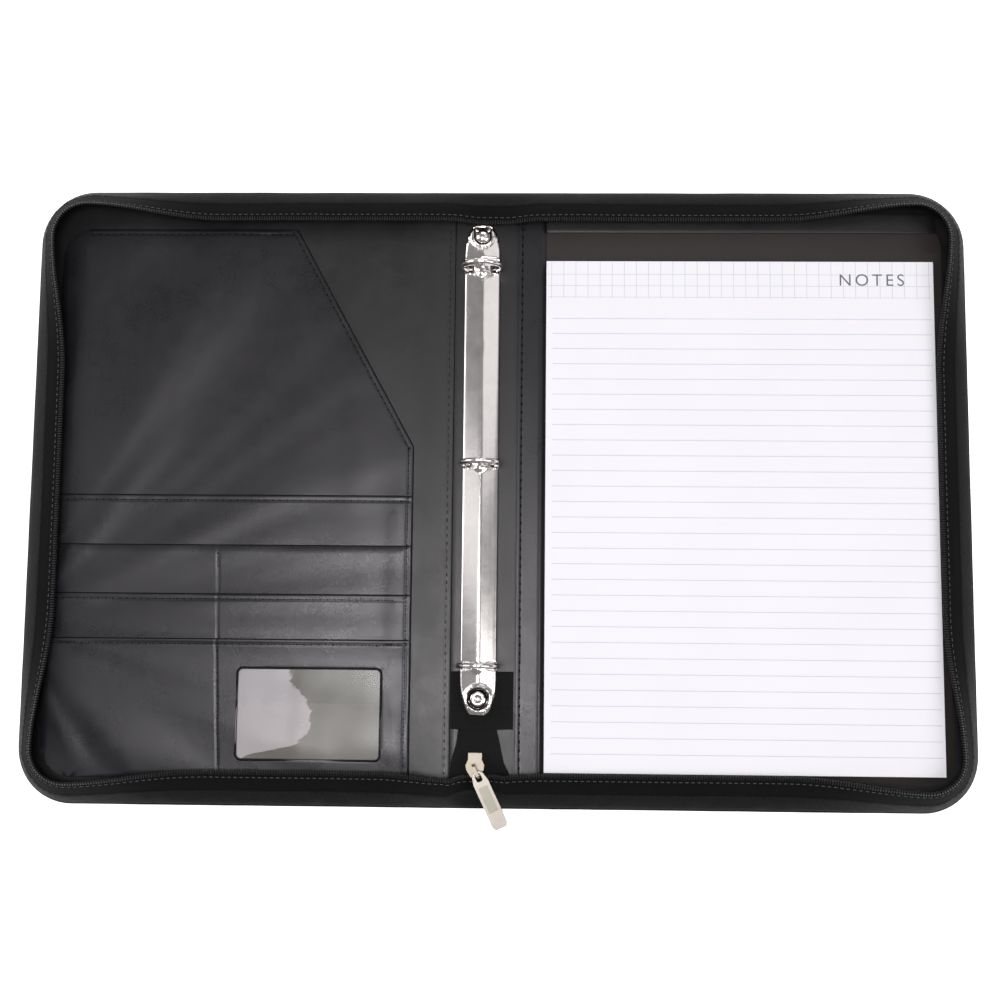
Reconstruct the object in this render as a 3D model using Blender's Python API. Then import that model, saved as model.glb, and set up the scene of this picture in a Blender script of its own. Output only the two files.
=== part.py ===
"""Zip-around portfolio case lying open: front cover with pockets, spine with ring mechanism, back cover with pad."""
import math

import bmesh
import bpy
from mathutils import Matrix
from mathutils import Vector

# Driving dimensions, metres. X runs across the open case, Y towards its top edge, Z up from the table.
OPEN_WIDTH = 0.510
CASE_HEIGHT = 0.336
SPINE_WIDTH = 0.048
CORNER_RADIUS = 0.030
GAP = 0.0003
FOLD_GAP = 0.0003
WALL_FROM_FOLD = 0.0015
ZIP_FROM_FOLD = 0.0066
LEATHER = 0.0010
BOARD = 0.0020
LINING = 0.0008
POCKET_LEATHER = 0.0005
FOLD_LEATHER_HALF = 0.0040
BOARD_FROM_FOLD = 0.0008
BOARD_INSET = 0.0030
LINING_INSET = 0.0012
EDGE_EASE = 0.0003

# Wall of gusset and zipper tape that stands round each cover
WALL_INSET = 0.0010
WALL_LIFT = 0.0005
GUSSET_END = 0.0098
TAPE_START = 0.0101
TAPE_END = 0.0190
TAPE_BY_SLIDER = 0.0146
COIL_START = 0.0193
COIL_END = 0.0209
GUSSET_THICKNESS = 0.0012
TAPE_THICKNESS = 0.0008
COIL_THICKNESS = 0.0017
LEAN_SIDE = 66.0
LEAN_CORNER = 36.0
LEAN_RUN = 0.075
LEAN_AT_BASE = 0.7
LEAN_GAIN = 0.5
SPAN_TOP = (8.0, -0.0030, 0.0171)
SPAN_BOTTOM = (22.0, -0.0090, 0.0115)

# Pockets of the front cover
POCKET_LEFT = -0.2420
POCKET_RIGHT = -0.0458
POCKET_BOTTOM = -0.1535
POCKET_TOP = 0.1460
POCKET_CUT_X = -0.1120
POCKET_CUT_Y = 0.0249
POCKET_CORNER = 0.0170
CARD_TOPS = (-0.0026, -0.0298, -0.0562, -0.0803)
WINDOW_LEFT = -0.1369
WINDOW_RIGHT = -0.0608
WINDOW_BOTTOM = -0.1431
WINDOW_TOP = -0.0955
WINDOW_RADIUS = 0.0027
WINDOW_PANEL = 0.0011
WINDOW_FILM_LIFT = 0.0007
WINDOW_FILM = 0.0003
CARD_TOP = -0.1135
CARD_IN_WINDOW = 0.0008
CARD_THICKNESS = 0.0004
CARD_CORNER = 0.0015

# Memo pad of the back cover
PAD_LEFT = 0.0262
PAD_RIGHT = 0.2360
PAD_TOP = 0.1273
PAD_BOTTOM = -0.1485
BACKING_RIGHT = 0.2420
BACKING_TOP = 0.1530
BACKING_BOTTOM = -0.1540
BACKING = 0.0015
PAPER = 0.0042
SHEET = 0.0002
STRIP_SLIT = 0.1446
STRIP_TOP = 0.1560
STRIP = 0.0009
STRIP_FROM_EDGE = 0.0030
SIDE_STRIP_LEFT = 0.0105
SIDE_STRIP_RIGHT = 0.0236

# Ring mechanism
RING_X = -0.0090
RING_Y = (0.1230, 0.0150, -0.0930)
RING_RADIUS = 0.0102
RING_WIRE = 0.00145
RING_HEIGHT = 0.0160
RING_FOOT_ANGLE = 52.0
RING_JOINT_ANGLE = 0.9
PLATE_TOP_Y = 0.1475
PLATE_BOTTOM_Y = -0.1190
PLATE_HALF = 0.00975
PLATE_SHEET = 0.0009
PLATE_Z = 0.0056
PLATE_SHOULDER = 0.0083
PLATE_RIDGE = 0.0109
PLATE_TOP_CORNER = (0.0065, 0.0170)
PLATE_BOTTOM_CORNER = (0.0070, 0.0200)
CUT_LOW = 0.0040
CUT_HIGH = 0.0140
NOTCH_LOW = 0.0066
NOTCH_IN = 0.0043
NOTCH_HALF = 0.0022
BLADE_OUT = 0.0084
BLADE_IN = 0.0004
BLADE_Z = 0.0060
BLADE_SHEET = 0.0008
BLADE_TOP_Y = 0.1335
BLADE_BOTTOM_Y = -0.1035
RIVET_Y = 0.1415
RIVET_HEAD = 0.0041
RIVET_CUT = 0.0050
POST_Y = -0.1105
POST_HEAD = 0.0040
POST_HOLE = 0.0060

# Zipper tab, slider and puller
TAB_LEFT = -0.0236
TAB_RIGHT = 0.0098
TAB_TOP = -0.0960
TAB_FOLD = -0.1265
TAB_END = -0.1455
TAB = 0.0006
TAB_WAIST = (-0.0195, 0.0012)
TAB_FOOT = (-0.0236, 0.0058)
SLIDER_X = -0.0101
SLIDER_Y = -0.1450
SLIDER_HALF = 0.0049
SLIDER_LENGTH = 0.0126
SLIDER_NECK_HALF = 0.0036
SLIDER_PLATE = 0.0011
SLIDER_Z = 0.0060
SLIDER_SLOT = 0.0020
SLIDER_END_HALF = 0.0022
STEM_HALF = 0.0012
STEM_Y = (-0.0060, -0.0020)
BAIL_HALF = 0.0013
BAIL_WIRE = 0.0008
BAIL_RISE = 0.0018
BAIL_REACH = (-0.0062, 0.0016)
BAIL_EASE = 0.0012
BAIL_SINK = 0.0004
PULLER_YAW = 25.0
PULLER_DROP = 6.5
PULLER_LENGTH = 0.0312
PULLER_HALF = 0.0041
PULLER_THICKNESS = 0.0016
PULLER_PIVOT_X = -0.0085
PULLER_PIVOT_Y = -0.1500
PULLER_PIVOT_Z = 0.0137
PULLER_HEAD = (0.0036, 0.0034)
PULLER_HEAD_CENTRE = 0.0014
PULLER_NECK = 0.0040
PULLER_TIP = 0.0010
PULLER_EASE = 0.0020
EYELET = (-0.0010, 0.0035, 0.0017)
EYELET_CORNER = 0.0010
RECESS = (0.0062, 0.0212, 0.0029)
RECESS_CORNER = 0.0008
RECESS_DEPTH = 0.0004
CUT_REACH = 0.0030

# Heights of the layers
OUTER_TOP = LEATHER
BOARD_BASE = OUTER_TOP + GAP
BOARD_TOP = BOARD_BASE + BOARD
LINING_BASE = BOARD_TOP + GAP
LINING_TOP = LINING_BASE + LINING
FIRST_LAYER = LINING_TOP + GAP

HALF_WIDTH = OPEN_WIDTH / 2
HALF_HEIGHT = CASE_HEIGHT / 2
HALF_SPINE = SPINE_WIDTH / 2

for old in list(bpy.data.objects):
    bpy.data.objects.remove(old, do_unlink=True)


def make_material(name, colour, roughness, metallic=0.0):
    """A plain Principled finish."""
    material = bpy.data.materials.new(name)
    material.use_nodes = True
    shader = material.node_tree.nodes["Principled BSDF"]
    shader.inputs["Base Color"].default_value = (*colour, 1.0)
    shader.inputs["Roughness"].default_value = roughness
    shader.inputs["Metallic"].default_value = metallic
    return material


BLACK_LEATHER = (0.030, 0.030, 0.032)
GREY_LEATHER = (0.045, 0.045, 0.048)
TAPE_BLACK = (0.018, 0.018, 0.019)
CHROME = (0.80, 0.79, 0.78)
NICKEL = (0.62, 0.58, 0.52)
PAPER_WHITE = (0.88, 0.88, 0.90)
BOARD_BROWN = (0.20, 0.15, 0.11)
BACKING_BROWN = (0.040, 0.034, 0.033)
CLEAR_GREY = (0.35, 0.36, 0.38)
CARD_GREY = (0.12, 0.12, 0.125)


def add_object(name, mesh, colour, roughness, metallic=0.0, smooth=False):
    """Puts a mesh in the scene under its own name, with its own finish."""
    thing = bpy.data.objects.new(name, mesh)
    bpy.context.scene.collection.objects.link(thing)
    mesh.materials.append(make_material(name + "_finish", colour, roughness, metallic))
    for face in mesh.polygons:
        face.use_smooth = smooth
    return thing


def closed_mesh(name, vertices, faces):
    """A mesh whose faces all look outward."""
    mesh = bpy.data.meshes.new(name)
    mesh.from_pydata([tuple(v) for v in vertices], [], faces)
    shape = bmesh.new()
    shape.from_mesh(mesh)
    bmesh.ops.remove_doubles(shape, verts=shape.verts, dist=0.000001)
    bmesh.ops.recalc_face_normals(shape, faces=shape.faces)
    shape.to_mesh(mesh)
    shape.free()
    return mesh


def arc_points(centre, radius, start, end, steps):
    """Points on an arc, angles in degrees."""
    points = []
    for step in range(steps + 1):
        angle = math.radians(start + (end - start) * step / steps)
        points.append((centre[0] + radius * math.cos(angle), centre[1] + radius * math.sin(angle)))
    return points


def rounded_outline(left, right, bottom, top, radii, steps=8):
    """A rectangle's outline with its own radius at the bottom right, top right, top left and bottom left."""
    corners = (
        ((right, bottom), (-1, 1), 270),
        ((right, top), (-1, -1), 0),
        ((left, top), (1, -1), 90),
        ((left, bottom), (1, 1), 180),
    )
    points = []
    for (corner, towards, start), radius in zip(corners, radii):
        if radius <= 0:
            points.append(corner)
            continue
        centre = (corner[0] + towards[0] * radius, corner[1] + towards[1] * radius)
        points += arc_points(centre, radius, start, start + 90, steps)
    return points


def prism_mesh(name, outline, low, high):
    """A flat plate between two heights."""
    count = len(outline)
    vertices = [(x, y, low) for x, y in outline] + [(x, y, high) for x, y in outline]
    faces = [tuple(range(count)), tuple(range(count, 2 * count))]
    for i in range(count):
        j = (i + 1) % count
        faces.append((i, j, j + count, i + count))
    return closed_mesh(name, vertices, faces)


def add_plate(name, outline, low, high, colour, roughness, metallic=0.0, edge=0.0):
    """A plate, its edges eased by a small bevel if edge is given."""
    thing = add_object(name, prism_mesh(name, outline, low, high), colour, roughness, metallic)
    if edge > 0:
        ease = thing.modifiers.new("ease", "BEVEL")
        ease.width = edge
        ease.segments = 1
        ease.limit_method = "ANGLE"
        ease.angle_limit = math.radians(50)
    return thing


def mirrored(outline, flip):
    """The outline as it is for the back cover, or mirrored across the spine for the front cover."""
    return [(-x, y) for x, y in outline] if flip else outline


def cutter_from(name, mesh):
    """A hidden solid that cuts another."""
    thing = bpy.data.objects.new(name, mesh)
    bpy.context.scene.collection.objects.link(thing)
    thing.hide_render = True
    thing.display_type = "WIRE"
    return thing


def cut_with(thing, cutter, operation="DIFFERENCE"):
    """An exact Boolean of thing with cutter."""
    step = thing.modifiers.new(cutter.name, "BOOLEAN")
    step.operation = operation
    step.solver = "EXACT"
    step.object = cutter


# ---- Cover and spine layers ----
def add_cover_layers(side, flip):
    """Outer leather, board and lining of one cover."""
    inner = HALF_SPINE
    outer = rounded_outline(
        inner + FOLD_LEATHER_HALF, HALF_WIDTH, -HALF_HEIGHT, HALF_HEIGHT,
        (CORNER_RADIUS, CORNER_RADIUS, 0, 0), 10)
    add_plate(side + "_outer", mirrored(outer, flip), 0.0, OUTER_TOP, BLACK_LEATHER, 0.45, 0.0, EDGE_EASE)
    inset = BOARD_INSET
    board = rounded_outline(
        inner + BOARD_FROM_FOLD, HALF_WIDTH - inset, -HALF_HEIGHT + inset, HALF_HEIGHT - inset,
        (CORNER_RADIUS - inset, CORNER_RADIUS - inset, 0, 0), 10)
    add_plate(side + "_board", mirrored(board, flip), BOARD_BASE, BOARD_TOP, BOARD_BROWN, 0.8)
    inset = LINING_INSET
    lining = rounded_outline(
        inner + FOLD_GAP, HALF_WIDTH - inset, -HALF_HEIGHT + inset, HALF_HEIGHT - inset,
        (CORNER_RADIUS - inset, CORNER_RADIUS - inset, 0, 0), 10)
    add_plate(side + "_lining", mirrored(lining, flip), LINING_BASE, LINING_TOP, GREY_LEATHER, 0.5)
    fold = rounded_outline(
        inner - FOLD_LEATHER_HALF + GAP, inner + FOLD_LEATHER_HALF - GAP, -HALF_HEIGHT, HALF_HEIGHT,
        (0, 0, 0, 0))
    add_plate(side + "_fold_leather", mirrored(fold, flip), 0.0, OUTER_TOP, BLACK_LEATHER, 0.45)


add_cover_layers("back", False)
add_cover_layers("front", True)
reach = HALF_SPINE - FOLD_LEATHER_HALF
add_plate("spine_outer", rounded_outline(-reach, reach, -HALF_HEIGHT, HALF_HEIGHT, (0, 0, 0, 0)),
          0.0, OUTER_TOP, BLACK_LEATHER, 0.45)
reach = HALF_SPINE - BOARD_FROM_FOLD
tall = HALF_HEIGHT - BOARD_INSET
add_plate("spine_board", rounded_outline(-reach, reach, -tall, tall, (0, 0, 0, 0)),
          BOARD_BASE, BOARD_TOP, BOARD_BROWN, 0.8)
reach = HALF_SPINE - FOLD_GAP
tall = HALF_HEIGHT - LINING_INSET
add_plate("spine_lining", rounded_outline(-reach, reach, -tall, tall, (0, 0, 0, 0)),
          LINING_BASE, LINING_TOP, GREY_LEATHER, 0.5)


# ---- Walls of gusset and tape ----
def smooth_step(value):
    """0 to 1 with soft ends."""
    value = min(1.0, max(0.0, value))
    return value * value * (3 - 2 * value)


def wall_path():
    """Stations along the back cover's wall: place, inward direction and lean in degrees, from the top fold round."""
    half_w = HALF_WIDTH - WALL_INSET
    half_h = HALF_HEIGHT - WALL_INSET
    radius = CORNER_RADIUS - WALL_INSET
    start_x = HALF_SPINE + WALL_FROM_FOLD
    straight_x = half_w - radius
    straight_y = half_h - radius
    stations = []
    top_steps = 14
    side_steps = 18
    for step in range(top_steps):
        x = start_x + (straight_x - start_x) * step / top_steps
        lean = LEAN_CORNER + (LEAN_SIDE - LEAN_CORNER) * smooth_step((straight_x - x) / LEAN_RUN)
        stations.append(((x, half_h), (0, -1), lean))
    for x, y in arc_points((0, 0), 1, 90, 0, 7):
        place = (straight_x + radius * x, straight_y + radius * y)
        stations.append((place, (-x, -y), LEAN_CORNER))
    for step in range(1, side_steps):
        y = straight_y - 2 * straight_y * step / side_steps
        lean = LEAN_CORNER + (LEAN_SIDE - LEAN_CORNER) * smooth_step((straight_y - abs(y)) / LEAN_RUN)
        stations.append(((half_w, y), (-1, 0), lean))
    for x, y in arc_points((0, 0), 1, 0, -90, 7):
        place = (straight_x + radius * x, -straight_y + radius * y)
        stations.append((place, (-x, -y), LEAN_CORNER))
    for step in range(1, top_steps + 1):
        x = straight_x + (start_x - straight_x) * step / top_steps
        lean = LEAN_CORNER + (LEAN_SIDE - LEAN_CORNER) * smooth_step((straight_x - x) / LEAN_RUN)
        stations.append(((x, -half_h), (0, 1), lean))
    return stations


def wall_section(lean, start, end, thickness, steps):
    """Closed section of the wall between two developed lengths, as inward and upward distances."""
    fine = 0.0001
    outer = []
    inner = []
    marks = [start + (end - start) * step / steps for step in range(steps + 1)]
    inward = 0.0
    up = 0.0
    along = 0.0
    for mark in marks:
        while along < mark - fine / 2:
            angle = math.radians(lean * (LEAN_AT_BASE + LEAN_GAIN * along / COIL_END))
            inward += math.sin(angle) * fine
            up += math.cos(angle) * fine
            along += fine
        angle = math.radians(lean * (LEAN_AT_BASE + LEAN_GAIN * along / COIL_END))
        across = (-math.cos(angle) * thickness / 2, math.sin(angle) * thickness / 2)
        outer.append((inward + across[0], up + across[1]))
        inner.append((inward - across[0], up - across[1]))
    return outer + inner[::-1]


def wall_mesh(name, stations, start, end, thickness, steps, base, flip):
    """Sweeps the wall's section along its stations."""
    vertices = []
    rings = []
    for place, direction, lean in stations:
        section = wall_section(lean, start, end, thickness, steps)
        ring = []
        for inward, up in section:
            x = place[0] + direction[0] * inward
            y = place[1] + direction[1] * inward
            ring.append(len(vertices))
            vertices.append((-x if flip else x, y, base + up))
        rings.append(ring)
    count = len(rings[0])
    faces = [tuple(rings[0]), tuple(rings[-1])]
    for before, after in zip(rings, rings[1:]):
        for i in range(count):
            j = (i + 1) % count
            faces.append((before[i], before[j], after[j], after[i]))
    return closed_mesh(name, vertices, faces)


WALL_BASE = FIRST_LAYER + WALL_LIFT
stations = wall_path()
for side, flip in (("back", False), ("front", True)):
    bands = (
        ("_gusset", 0.0, GUSSET_END, GUSSET_THICKNESS, 3, BLACK_LEATHER, 0.5),
        ("_zip_tape", TAPE_START, TAPE_END, TAPE_THICKNESS, 2, TAPE_BLACK, 0.85),
        ("_zip_coil", COIL_START, COIL_END, COIL_THICKNESS, 1, TAPE_BLACK, 0.4),
    )
    for ending, start, end, thickness, steps, colour, roughness in bands:
        path = list(stations)
        if flip and start > 0:
            # The front cover's zip ends above the slider that it closes onto
            place, direction, lean = path[-1]
            path[-1] = ((HALF_SPINE + ZIP_FROM_FOLD, place[1]), direction, lean)
        mesh = wall_mesh(side + ending, path, start, end, thickness, steps, WALL_BASE, flip)
        add_object(side + ending, mesh, colour, roughness)

# The soft band that crosses the two ends of the spine, flatter where it sags and where it meets the slider
span_steps = 12
reach = HALF_SPINE - FOLD_GAP
for end_name, sign, (lean_more, flat_x, flat_run), tape_end in (
        ("top", 1, SPAN_TOP, TAPE_END), ("bottom", -1, SPAN_BOTTOM, TAPE_BY_SLIDER)):
    stations = []
    for step in range(span_steps + 1):
        x = -reach + 2 * reach * step / span_steps
        lean = LEAN_SIDE + lean_more * smooth_step(1.4 - abs(x - flat_x) / flat_run)
        stations.append(((x, sign * (HALF_HEIGHT - WALL_INSET)), (0, -sign), lean))
    bands = (
        ("_gusset", 0.0, GUSSET_END, GUSSET_THICKNESS, 3, BLACK_LEATHER, 0.5),
        ("_tape", TAPE_START, tape_end, TAPE_THICKNESS, 2, TAPE_BLACK, 0.85),
    )
    for ending, start, end, thickness, steps, colour, roughness in bands:
        name = "spine_" + end_name + ending
        mesh = wall_mesh(name, stations, start, end, thickness, steps, WALL_BASE, False)
        add_object(name, mesh, colour, roughness)

# ---- Front cover pockets ----
pocket = [
    (POCKET_RIGHT, POCKET_BOTTOM),
    (POCKET_RIGHT, POCKET_CUT_Y),
    (POCKET_CUT_X, POCKET_TOP),
]
pocket += arc_points((POCKET_LEFT + POCKET_CORNER, POCKET_TOP - POCKET_CORNER), POCKET_CORNER, 90, 180, 6)
pocket += arc_points((POCKET_LEFT + POCKET_CORNER, POCKET_BOTTOM + POCKET_CORNER), POCKET_CORNER, 180, 270, 6)
add_plate("document_pocket", pocket, FIRST_LAYER, FIRST_LAYER + LINING, GREY_LEATHER, 0.42)
base = FIRST_LAYER + LINING + GAP
for number, top in enumerate(CARD_TOPS, start=1):
    thickness = WINDOW_PANEL if number == len(CARD_TOPS) else POCKET_LEATHER
    outline = rounded_outline(
        POCKET_LEFT, POCKET_RIGHT, POCKET_BOTTOM, top, (0, 0, 0, POCKET_CORNER), 6)
    panel = add_plate("card_pocket_%d" % number, outline, base, base + thickness, GREY_LEATHER, 0.42)
    if number == len(CARD_TOPS):
        radii = (WINDOW_RADIUS,) * 4
        hole = rounded_outline(WINDOW_LEFT, WINDOW_RIGHT, WINDOW_BOTTOM, WINDOW_TOP, radii, 4)
        cut_with(panel, cutter_from("window_cut", prism_mesh("window_cut", hole, base - 0.001, base + 0.003)))
        window_base = base
    base += thickness + GAP
inset = GAP
radii = (WINDOW_RADIUS - inset,) * 4
hole = rounded_outline(
    WINDOW_LEFT + inset, WINDOW_RIGHT - inset, WINDOW_BOTTOM + inset, WINDOW_TOP - inset, radii, 4)
film_base = window_base + WINDOW_FILM_LIFT
add_plate("id_window", hole, film_base, film_base + WINDOW_FILM, CLEAR_GREY, 0.15)
inset = CARD_IN_WINDOW
radii = (CARD_CORNER, 0.0, 0.0, CARD_CORNER)
card = rounded_outline(WINDOW_LEFT + inset, WINDOW_RIGHT - inset, WINDOW_BOTTOM + inset, CARD_TOP, radii, 3)
add_plate("id_card", card, window_base, window_base + CARD_THICKNESS, CARD_GREY, 0.5)

# ---- Memo pad on the back cover ----
backing = rounded_outline(
    PAD_LEFT, BACKING_RIGHT, BACKING_BOTTOM, BACKING_TOP, (POCKET_CORNER, POCKET_CORNER, 0, 0), 6)
add_plate("pad_board", backing, FIRST_LAYER, FIRST_LAYER + BACKING, BACKING_BROWN, 0.6)
paper_base = FIRST_LAYER + BACKING + GAP
paper_top = paper_base + PAPER
radii = (0, 0, 0, 0)
page = rounded_outline(PAD_LEFT, PAD_RIGHT, PAD_BOTTOM, PAD_TOP, radii)
add_plate("pad_paper", page, paper_base, paper_top, PAPER_WHITE, 0.7)
add_plate("pad_top_sheet", page, paper_top + GAP, paper_top + GAP + SHEET, PAPER_WHITE, 0.7)
strip = rounded_outline(PAD_LEFT, BACKING_RIGHT - STRIP_FROM_EDGE, STRIP_SLIT, STRIP_TOP, radii)
add_plate("pad_top_strip", strip, paper_base, paper_base + STRIP, GREY_LEATHER, 0.42)
side_strip = rounded_outline(SIDE_STRIP_LEFT, SIDE_STRIP_RIGHT, BACKING_BOTTOM, STRIP_TOP, radii)
add_plate("pad_side_strip", side_strip, FIRST_LAYER, FIRST_LAYER + LINING, GREY_LEATHER, 0.42)


# ---- Ring mechanism ----
def extruded_section(name, section, start_y, end_y):
    """Section in X and Z, pushed along Y."""
    count = len(section)
    vertices = [(x, start_y, z) for x, z in section] + [(x, end_y, z) for x, z in section]
    faces = [tuple(range(count)), tuple(range(count, 2 * count))]
    for i in range(count):
        j = (i + 1) % count
        faces.append((i, j, j + count, i + count))
    return closed_mesh(name, vertices, faces)


def roof_points(half, shoulder, ridge, lift):
    """One roof-shaped line across the sheath, from left to right."""
    marks = (-1.0, -0.96, -0.86, -0.5, -0.12, 0.0, 0.12, 0.5, 0.86, 0.96, 1.0)
    rises = (0.0, 0.10, 0.22, 0.62, 0.95, 1.0, 0.95, 0.62, 0.22, 0.10, 0.0)
    points = []
    for mark, rise in zip(marks, rises):
        points.append((RING_X + mark * half, shoulder + (ridge - shoulder) * rise + lift))
    return points


outer_line = roof_points(PLATE_HALF, PLATE_SHOULDER, PLATE_RIDGE, 0.0)
inner_line = roof_points(PLATE_HALF - PLATE_SHEET, PLATE_SHOULDER, PLATE_RIDGE, -PLATE_SHEET)
section = [(RING_X - PLATE_HALF, PLATE_Z)] + outer_line + [(RING_X + PLATE_HALF, PLATE_Z)]
section += [(RING_X + PLATE_HALF - PLATE_SHEET, PLATE_Z)] + inner_line[::-1]
section += [(RING_X - PLATE_HALF + PLATE_SHEET, PLATE_Z)]
plate = add_object(
    "ring_plate", extruded_section("ring_plate", section, PLATE_BOTTOM_Y, PLATE_TOP_Y), CHROME, 0.12, 1.0)

# Plan shape of the sheath: rounded at both ends
plan = []
corners = (
    (-90, PLATE_BOTTOM_CORNER, 1, PLATE_BOTTOM_Y, 1),
    (0, PLATE_TOP_CORNER, 1, PLATE_TOP_Y, -1),
    (90, PLATE_TOP_CORNER, -1, PLATE_TOP_Y, -1),
    (180, PLATE_BOTTOM_CORNER, -1, PLATE_BOTTOM_Y, 1),
)
for start, (wide, long), side, end_y, inward in corners:
    for x, y in arc_points((0, 0), 1, start, start + 90, 5):
        centre_x = RING_X + side * (0.0100 - wide)
        plan.append((centre_x + wide * x, end_y + inward * long + long * y))
cut_with(plate, cutter_from("plate_plan", prism_mesh("plate_plan", plan, CUT_LOW, CUT_HIGH)), "INTERSECT")

# Notches that the rings come up through, the slot for the rivet and the hole for the post
for number, y in enumerate(RING_Y, start=1):
    for side, sign in (("left", -1), ("right", 1)):
        near = RING_X + sign * NOTCH_IN
        far = RING_X + sign * (PLATE_HALF + 0.001)
        notch = rounded_outline(
            min(near, far), max(near, far), y - NOTCH_HALF, y + NOTCH_HALF, (0, 0, 0, 0))
        name = "notch_%s_%d" % (side, number)
        cut_with(plate, cutter_from(name, prism_mesh(name, notch, NOTCH_LOW, CUT_HIGH)))
slot = arc_points((RING_X, RIVET_Y), RIVET_CUT, 180, 360, 12)
slot += [(RING_X + RIVET_CUT, PLATE_TOP_Y + 0.002), (RING_X - RIVET_CUT, PLATE_TOP_Y + 0.002)]
cut_with(plate, cutter_from("rivet_slot", prism_mesh("rivet_slot", slot, CUT_LOW, CUT_HIGH)))
hole = arc_points((RING_X, POST_Y), POST_HOLE, 0, 345, 23)
cut_with(plate, cutter_from("post_hole", prism_mesh("post_hole", hole, CUT_LOW, CUT_HIGH)))


def turned_mesh(name, profile, centre, steps=20):
    """A solid of revolution about Z through centre, from radius and height pairs that start and end on the axis."""
    vertices = []
    rings = []
    for radius, z in profile:
        if radius <= 0:
            rings.append([len(vertices)])
            vertices.append((centre[0], centre[1], z))
            continue
        ring = []
        for step in range(steps):
            angle = 2 * math.pi * step / steps
            ring.append(len(vertices))
            vertices.append((centre[0] + radius * math.cos(angle), centre[1] + radius * math.sin(angle), z))
        rings.append(ring)
    faces = []
    for before, after in zip(rings, rings[1:]):
        for i in range(steps):
            j = (i + 1) % steps
            if len(before) == 1:
                faces.append((before[0], after[i], after[j]))
            elif len(after) == 1:
                faces.append((before[i], before[j], after[0]))
            else:
                faces.append((before[i], before[j], after[j], after[i]))
    return closed_mesh(name, vertices, faces)


rivet = (
    (0, PLATE_Z), (0.0026, PLATE_Z), (0.0026, 0.0078), (RIVET_HEAD, 0.0082), (RIVET_HEAD, 0.0092),
    (0.0036, 0.0102), (0.0024, 0.0110), (0.0010, 0.0114), (0, 0.01145),
)
add_object("ring_rivet_top", turned_mesh("ring_rivet_top", rivet, (RING_X, RIVET_Y)), CHROME, 0.15, 1.0, True)
post = (
    (0, PLATE_Z), (0.0046, PLATE_Z), (POST_HEAD, 0.0066), (0.0032, 0.0076), (0.0027, 0.0090),
    (0.0024, 0.0098), (0.0014, 0.0104), (0, 0.0106),
)
add_object("ring_post_bottom", turned_mesh("ring_post_bottom", post, (RING_X, POST_Y)), CHROME, 0.15, 1.0, True)

for side, sign in (("left", -1), ("right", 1)):
    near = RING_X + sign * BLADE_IN
    far = RING_X + sign * BLADE_OUT
    outline = rounded_outline(min(near, far), max(near, far), BLADE_BOTTOM_Y, BLADE_TOP_Y, (0, 0, 0, 0))
    name = "ring_blade_" + side
    blade = add_plate(name, outline, BLADE_Z, BLADE_Z + BLADE_SHEET, CHROME, 0.25, 1.0)
    pivot = Vector((RING_X + sign * BLADE_OUT, 0, BLADE_Z + BLADE_SHEET / 2))
    blade.data.transform(Matrix.Translation(-pivot))
    blade.location = pivot


def half_ring_mesh(name, sign, centre_y, sides=10, steps=16):
    """Half of a ring: from the joint at the top, outward and down to its foot in the sheath."""
    start = 90.0 + RING_JOINT_ANGLE
    end = 180.0 + RING_FOOT_ANGLE
    vertices = []
    rings = []
    for step in range(steps + 1):
        angle = math.radians(start + (end - start) * step / steps)
        ring = []
        for side in range(sides):
            turn = 2 * math.pi * side / sides
            radius = RING_RADIUS + RING_WIRE * math.cos(turn)
            x = -sign * radius * math.cos(angle)
            ring.append(len(vertices))
            y = centre_y + RING_WIRE * math.sin(turn)
            vertices.append((RING_X + x, y, RING_HEIGHT + radius * math.sin(angle)))
        rings.append(ring)
    faces = [tuple(rings[0]), tuple(rings[-1])]
    for before, after in zip(rings, rings[1:]):
        for i in range(sides):
            j = (i + 1) % sides
            faces.append((before[i], before[j], after[j], after[i]))
    return closed_mesh(name, vertices, faces)


for side, sign in (("left", -1), ("right", 1)):
    for number, y in enumerate(RING_Y, start=1):
        name = "ring_%s_%d" % (side, number)
        add_object(name, half_ring_mesh(name, sign, y), CHROME, 0.12, 1.0, True)

# ---- Zipper tab, slider and puller ----
tab = [
    (TAB_RIGHT, TAB_TOP), (TAB_LEFT, TAB_TOP), (TAB_LEFT, TAB_FOLD),
    (TAB_WAIST[0], TAB_FOLD), (TAB_FOOT[0], TAB_END), (TAB_FOOT[1], TAB_END), (TAB_WAIST[1], TAB_FOLD),
    (TAB_RIGHT, TAB_FOLD),
]
tab = [(min(x, SIDE_STRIP_LEFT - GAP), y) for x, y in tab]
add_plate("spine_zip_tab", tab, FIRST_LAYER, FIRST_LAYER + TAB, TAPE_BLACK, 0.9)

half_outline = [
    (SLIDER_END_HALF, -0.5), (0.92 * SLIDER_HALF, -0.2), (SLIDER_HALF, 0.0), (SLIDER_NECK_HALF, 0.22),
    (SLIDER_NECK_HALF, 0.5),
]
slider_outline = half_outline + [(-x, y) for x, y in half_outline[::-1]]
slider_outline = [(SLIDER_X + x, SLIDER_Y + y * SLIDER_LENGTH) for x, y in slider_outline]
slider_top = SLIDER_Z + 2 * SLIDER_PLATE + SLIDER_SLOT
slider = add_object(
    "slider_body", prism_mesh("slider_body", slider_outline, SLIDER_Z, SLIDER_Z + SLIDER_PLATE), NICKEL, 0.3, 1.0)
lid = prism_mesh("slider_lid", slider_outline, slider_top - SLIDER_PLATE, slider_top)
cut_with(slider, cutter_from("slider_lid", lid), "UNION")
stem = rounded_outline(
    SLIDER_X - STEM_HALF, SLIDER_X + STEM_HALF, SLIDER_Y + STEM_Y[0], SLIDER_Y + STEM_Y[1], (0, 0, 0, 0))
stem = prism_mesh("slider_stem", stem, SLIDER_Z + SLIDER_PLATE / 2, slider_top - SLIDER_PLATE / 2)
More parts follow.
